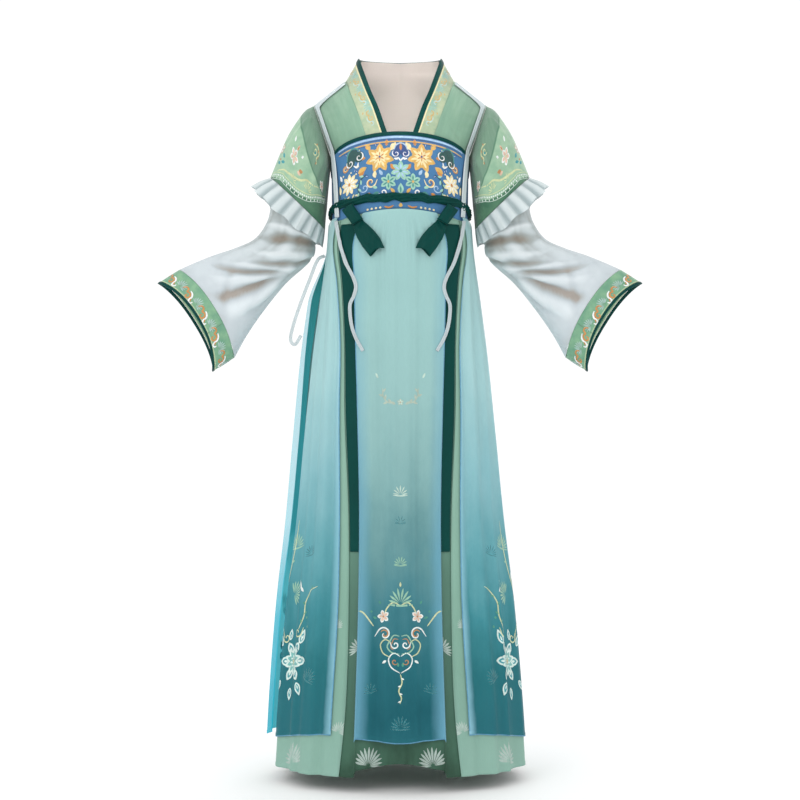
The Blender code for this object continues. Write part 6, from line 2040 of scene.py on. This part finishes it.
def vest_strokes():
    """For the left front panel; u grows towards the centre."""
    made = placed(rosette(), -0.012, 0.868)
    for u, v, turn, size in ((-0.052, 0.838, -35, 1.2), (0.012, 0.834, 20, 1.2), (-0.030, 0.826, 8, 0.9),
                             (-0.052, 0.906, 215, 1.0), (0.010, 0.910, 160, 1.1), (-0.022, 0.920, 185, 1.0)):
        made += placed([petal(0.024, 0.012, "print_lace", 0, 2), petal(0.016, 0.0066, "print_teal", 0.003, 3),
                        petal(0.008, 0.0026, "print_lace", 0.005, 4)], u, v, turn, size)
    for u, v, turn, flip in ((-0.040, 0.822, 20, False), (0.004, 0.812, -20, True)):
        made += placed([curl(0.0105, 1.25, "print_cream", 0.0026, 3, 1.2, 0.010)], u, v, turn, 1.0, flip)
    made += vine([(0.006, 0.806), (0.016, 0.780), (0.018, 0.752), (0.034, 0.732), (0.054, 0.726)],
                 "print_cream", 0.0026, "print_green", 0.008, 2, 1)
    made += vine([(-0.046, 0.822), (-0.066, 0.790), (-0.070, 0.750), (-0.052, 0.700), (-0.040, 0.650), (-0.034, 0.590)],
                 "print_cream", 0.0026, "print_mint", 0.009, 2, 1)
    made += placed(fan_leaf(0.030, 10, 170, "print_mint", 1, False), -0.030, 0.736, 70)
    made += placed(fan_leaf(0.026, 9, 160, "print_mint", 1), -0.034, 0.642, -10)
    made += placed(fan_leaf(0.024, 9, 160, "print_faint"), 0.045, 0.905, 30)
    made += placed(fan_leaf(0.018, 8, 160, "print_faint"), 0.020, 0.660, -15)
    for u, v, turn in ((-0.072, 0.716, 20), (0.004, 0.726, -28), (0.010, 0.733, -42), (-0.060, 0.710, 5)):
        made += placed([petal(0.019, 0.0055, "print_white", 0, 2)], u, v, turn)
    for u, v in ((0.024, 0.784), (0.030, 0.802), (0.022, 0.816)):
        made += placed([dot(0.0026, "print_green", 1)], u, v)
    return made


def back_strokes():
    made = []
    for middle in (-0.285, -0.095, 0.095, 0.285):
        side = 1 if middle < 0 else -1
        one = placed(vest_strokes(), 0.020, 0.330)
        made += [{**item, "line": item["line"] * (side, 1) + (middle, 0)} for item in one]
    return [item for item in made if np.abs(item["line"][:, 0]).max() < 0.300]


def hem_strokes(places, tone="print_hem"):
    made = []
    for u, v, radius, turn in places:
        made += placed(fan_leaf(radius, 12, 172, tone, 0, False), u, v, turn)
    return made


def edge_lines(shell, width, tone, sides=(0, -1)):
    """A rolled edge down the cloth's sides and along its hem."""
    made = []
    u, v = shell["u"], shell["v"]
    for column_at in sides:
        inward = width / 2 * (1 if column_at == 0 else -1)
        made.append(stroke(np.stack([u[4:, column_at] + inward, v[4:, column_at]], axis=1), width, tone,
                           110, (0.8, 1)))
    made.append(stroke(np.stack([u[-1], v[-1] - width / 2], axis=1), width, tone, 90, (1, 1)))
    return made


def mirrored(strokes):
    return [{**item, "line": item["line"] * (-1, 1)} for item in strokes]


def tones_of(strokes):
    return sorted({item["tone"] for item in strokes})


def lay(name, shell, strokes, slot, **options):
    return laid(name, shell, strokes, tones_of(strokes), slot, **options)


def make_prints():
    lay("bodice_embroidery", BODICE["front"], bodice_strokes(), "bodice_blue", out=0.00015, dome=0.00045)
    lay("bodice_back_embroidery", BODICE["back"],
        placed([arch_line(0.135, 0.0035, 0.0040, "sky"), arch_line(0.135, 0.0078, 0.0016, "navy", 1),
                arch_line(0.133, 0.0122, 0.0026, "gold", 1)] + both_sides(
                    placed(cloud(0.034, "white", "dark", 3, "teal"), 0.080, 0.045, 10)
                    + placed([curl(0.0085, 1.4, "orange", 0.0026, 4, 0.5, 0.006)], 0.110, 0.042))
               + placed(round_flower(0.020, 7, "gold", "cream", "orange", 2, rings=2), 0.0, 0.045)),
        "bodice_blue", out=0.00015, dome=0.00045)
    lay("collar_print", COLLAR["collar_band"], collar_strokes(), "band_pattern", out=0.00015, dome=0.0002)
    lay("apron_print", SKIRT["apron"], apron_strokes() + edge_lines(SKIRT["apron"], 0.0022, "print_edge"),
        "apron_teal")
    lay("vest_back_print", VEST_BACK, back_strokes(), "vest_blue")
    hem_row = [(u, 1.058, 0.040, 8 * math.sin(9 * u)) for u in np.linspace(-0.50, 0.50, 7)]
    lay("back_sheet_print", SKIRT["back"], hem_strokes(
        hem_row + [(-0.607, 1.000, 0.022, -20), (0.607, 1.000, 0.022, 20), (-0.556, 0.800, 0.018, 0),
                   (0.556, 0.800, 0.018, 0)]), "skirt_green")
    lay("front_sheet_print", SKIRT["front"], hem_strokes(
        [(-0.090, 0.850, 0.026, -15), (0.090, 0.850, 0.026, 15), (-0.066, 1.072, 0.036, 12),
         (0.066, 1.072, 0.036, -12), (0.0, 0.960, 0.022, 0)]), "skirt_green")
    for side, word in ((-1.0, "left"), (1.0, "right")):
        cap, cuff = cap_strokes(), cuff_strokes()
        made = SLEEVES[word]
        lay(f"cap_print_front_{word}", made["cap_front"], cap, "sleeve_print", out=0.00012)
        lay(f"cap_print_back_{word}", made["cap_back"], mirrored(cap), "sleeve_print", out=0.00012)
        lay(f"cuff_print_front_{word}", made["cuff_band_front"], cuff, "band_pattern", out=0.00012, dome=0.0002)
        lay(f"cuff_print_back_{word}", made["cuff_band_back"], mirrored(cuff), "band_pattern", out=0.00012,
            dome=0.0002)
        inner = (-1,) if side < 0 else (0,)
        print_of = vest_strokes() if side < 0 else mirrored(vest_strokes())
        lay(f"vest_print_{word}", VESTS[word], print_of + edge_lines(VESTS[word], 0.0022, "print_edge", inner),
            "vest_blue")


# Light, floor and camera


def make_stage():
    world = bpy.context.scene.world or bpy.data.worlds.new("studio")
    bpy.context.scene.world = world
    world.use_nodes = True
    world.node_tree.nodes["Background"].inputs["Color"].default_value = (1.0, 1.0, 1.0, 1.0)
    world.node_tree.nodes["Background"].inputs["Strength"].default_value = 1.06
    for name, place, size, power in (
        ("key", (-1.9, -3.2, 1.3), 1.8, 28.0),
        ("fill", (2.4, -3.0, 0.2), 2.2, 4.0),
        ("rim", (0.6, 2.6, 1.2), 2.0, 14.0),
    ):
        data = bpy.data.lights.new(name, "AREA")
        data.size = size
        data.energy = power
        lamp = bpy.data.objects.new(name, data)
        lamp.location = place
        aim = np.array((0.0, 0.0, -0.6)) - np.array(place)
        lamp.rotation_euler = (math.atan2(math.hypot(aim[0], aim[1]), -aim[2]), 0.0,
                               math.atan2(-aim[0], aim[1]))
        bpy.context.scene.collection.objects.link(lamp)
    data = bpy.data.lights.new("neck_fill", "AREA")
    data.size = 0.12
    data.energy = 0.06
    data.spread = math.radians(10)
    lamp = bpy.data.objects.new("neck_fill", data)
    lamp.location = (0.0, -1.5, 0.22)
    lamp.rotation_euler = (math.radians(79.8), 0.0, 0.0)
    bpy.context.scene.collection.objects.link(lamp)
    floor = bpy.data.meshes.new("floor")
    half = 12.0
    floor.from_pydata([(-half, -half, 0), (half, -half, 0), (half, half, 0), (-half, half, 0)], [], [(0, 1, 2, 3)])
    thing = bpy.data.objects.new("floor", floor)
    thing.location = (0.0, 0.0, -1.392)
    paint = bpy.data.materials.new("floor_paint")
    paint.use_nodes = True
    shader = paint.node_tree.nodes["Principled BSDF"]
    shader.inputs["Base Color"].default_value = (0.96, 0.96, 0.96, 1.0)
    shader.inputs["Roughness"].default_value = 0.9
    floor.materials.append(paint)
    bpy.context.scene.collection.objects.link(thing)
    data = bpy.data.cameras.new("camera")
    data.lens = 90.0
    data.sensor_width = 36.0
    camera = bpy.data.objects.new("camera", data)
    camera.location = (0.0, -4.0, -0.64)
    camera.rotation_euler = (math.pi / 2, 0.0, 0.0)
    bpy.context.scene.collection.objects.link(camera)
    bpy.context.scene.camera = camera
    bpy.context.scene.view_settings.view_transform = "Standard"


make_stage()
make_shirt()
COLLAR = make_collar()
BODICE = make_bodice()
make_belt()
SKIRT = make_skirt()
VEST_BACK = make_vest_back()
make_side_tie()
SLEEVES = {}
VESTS = {}
for SIDE, WORD in ((-1.0, "left"), (1.0, "right")):
    SLEEVES[WORD] = make_sleeve(SIDE, WORD)
    VESTS[WORD] = make_vest_front(SIDE, WORD)
    make_strap(SIDE, WORD)
    make_tail(SIDE, WORD)
    make_bow(SIDE, WORD)
    make_front_tie(SIDE, WORD)

make_prints()
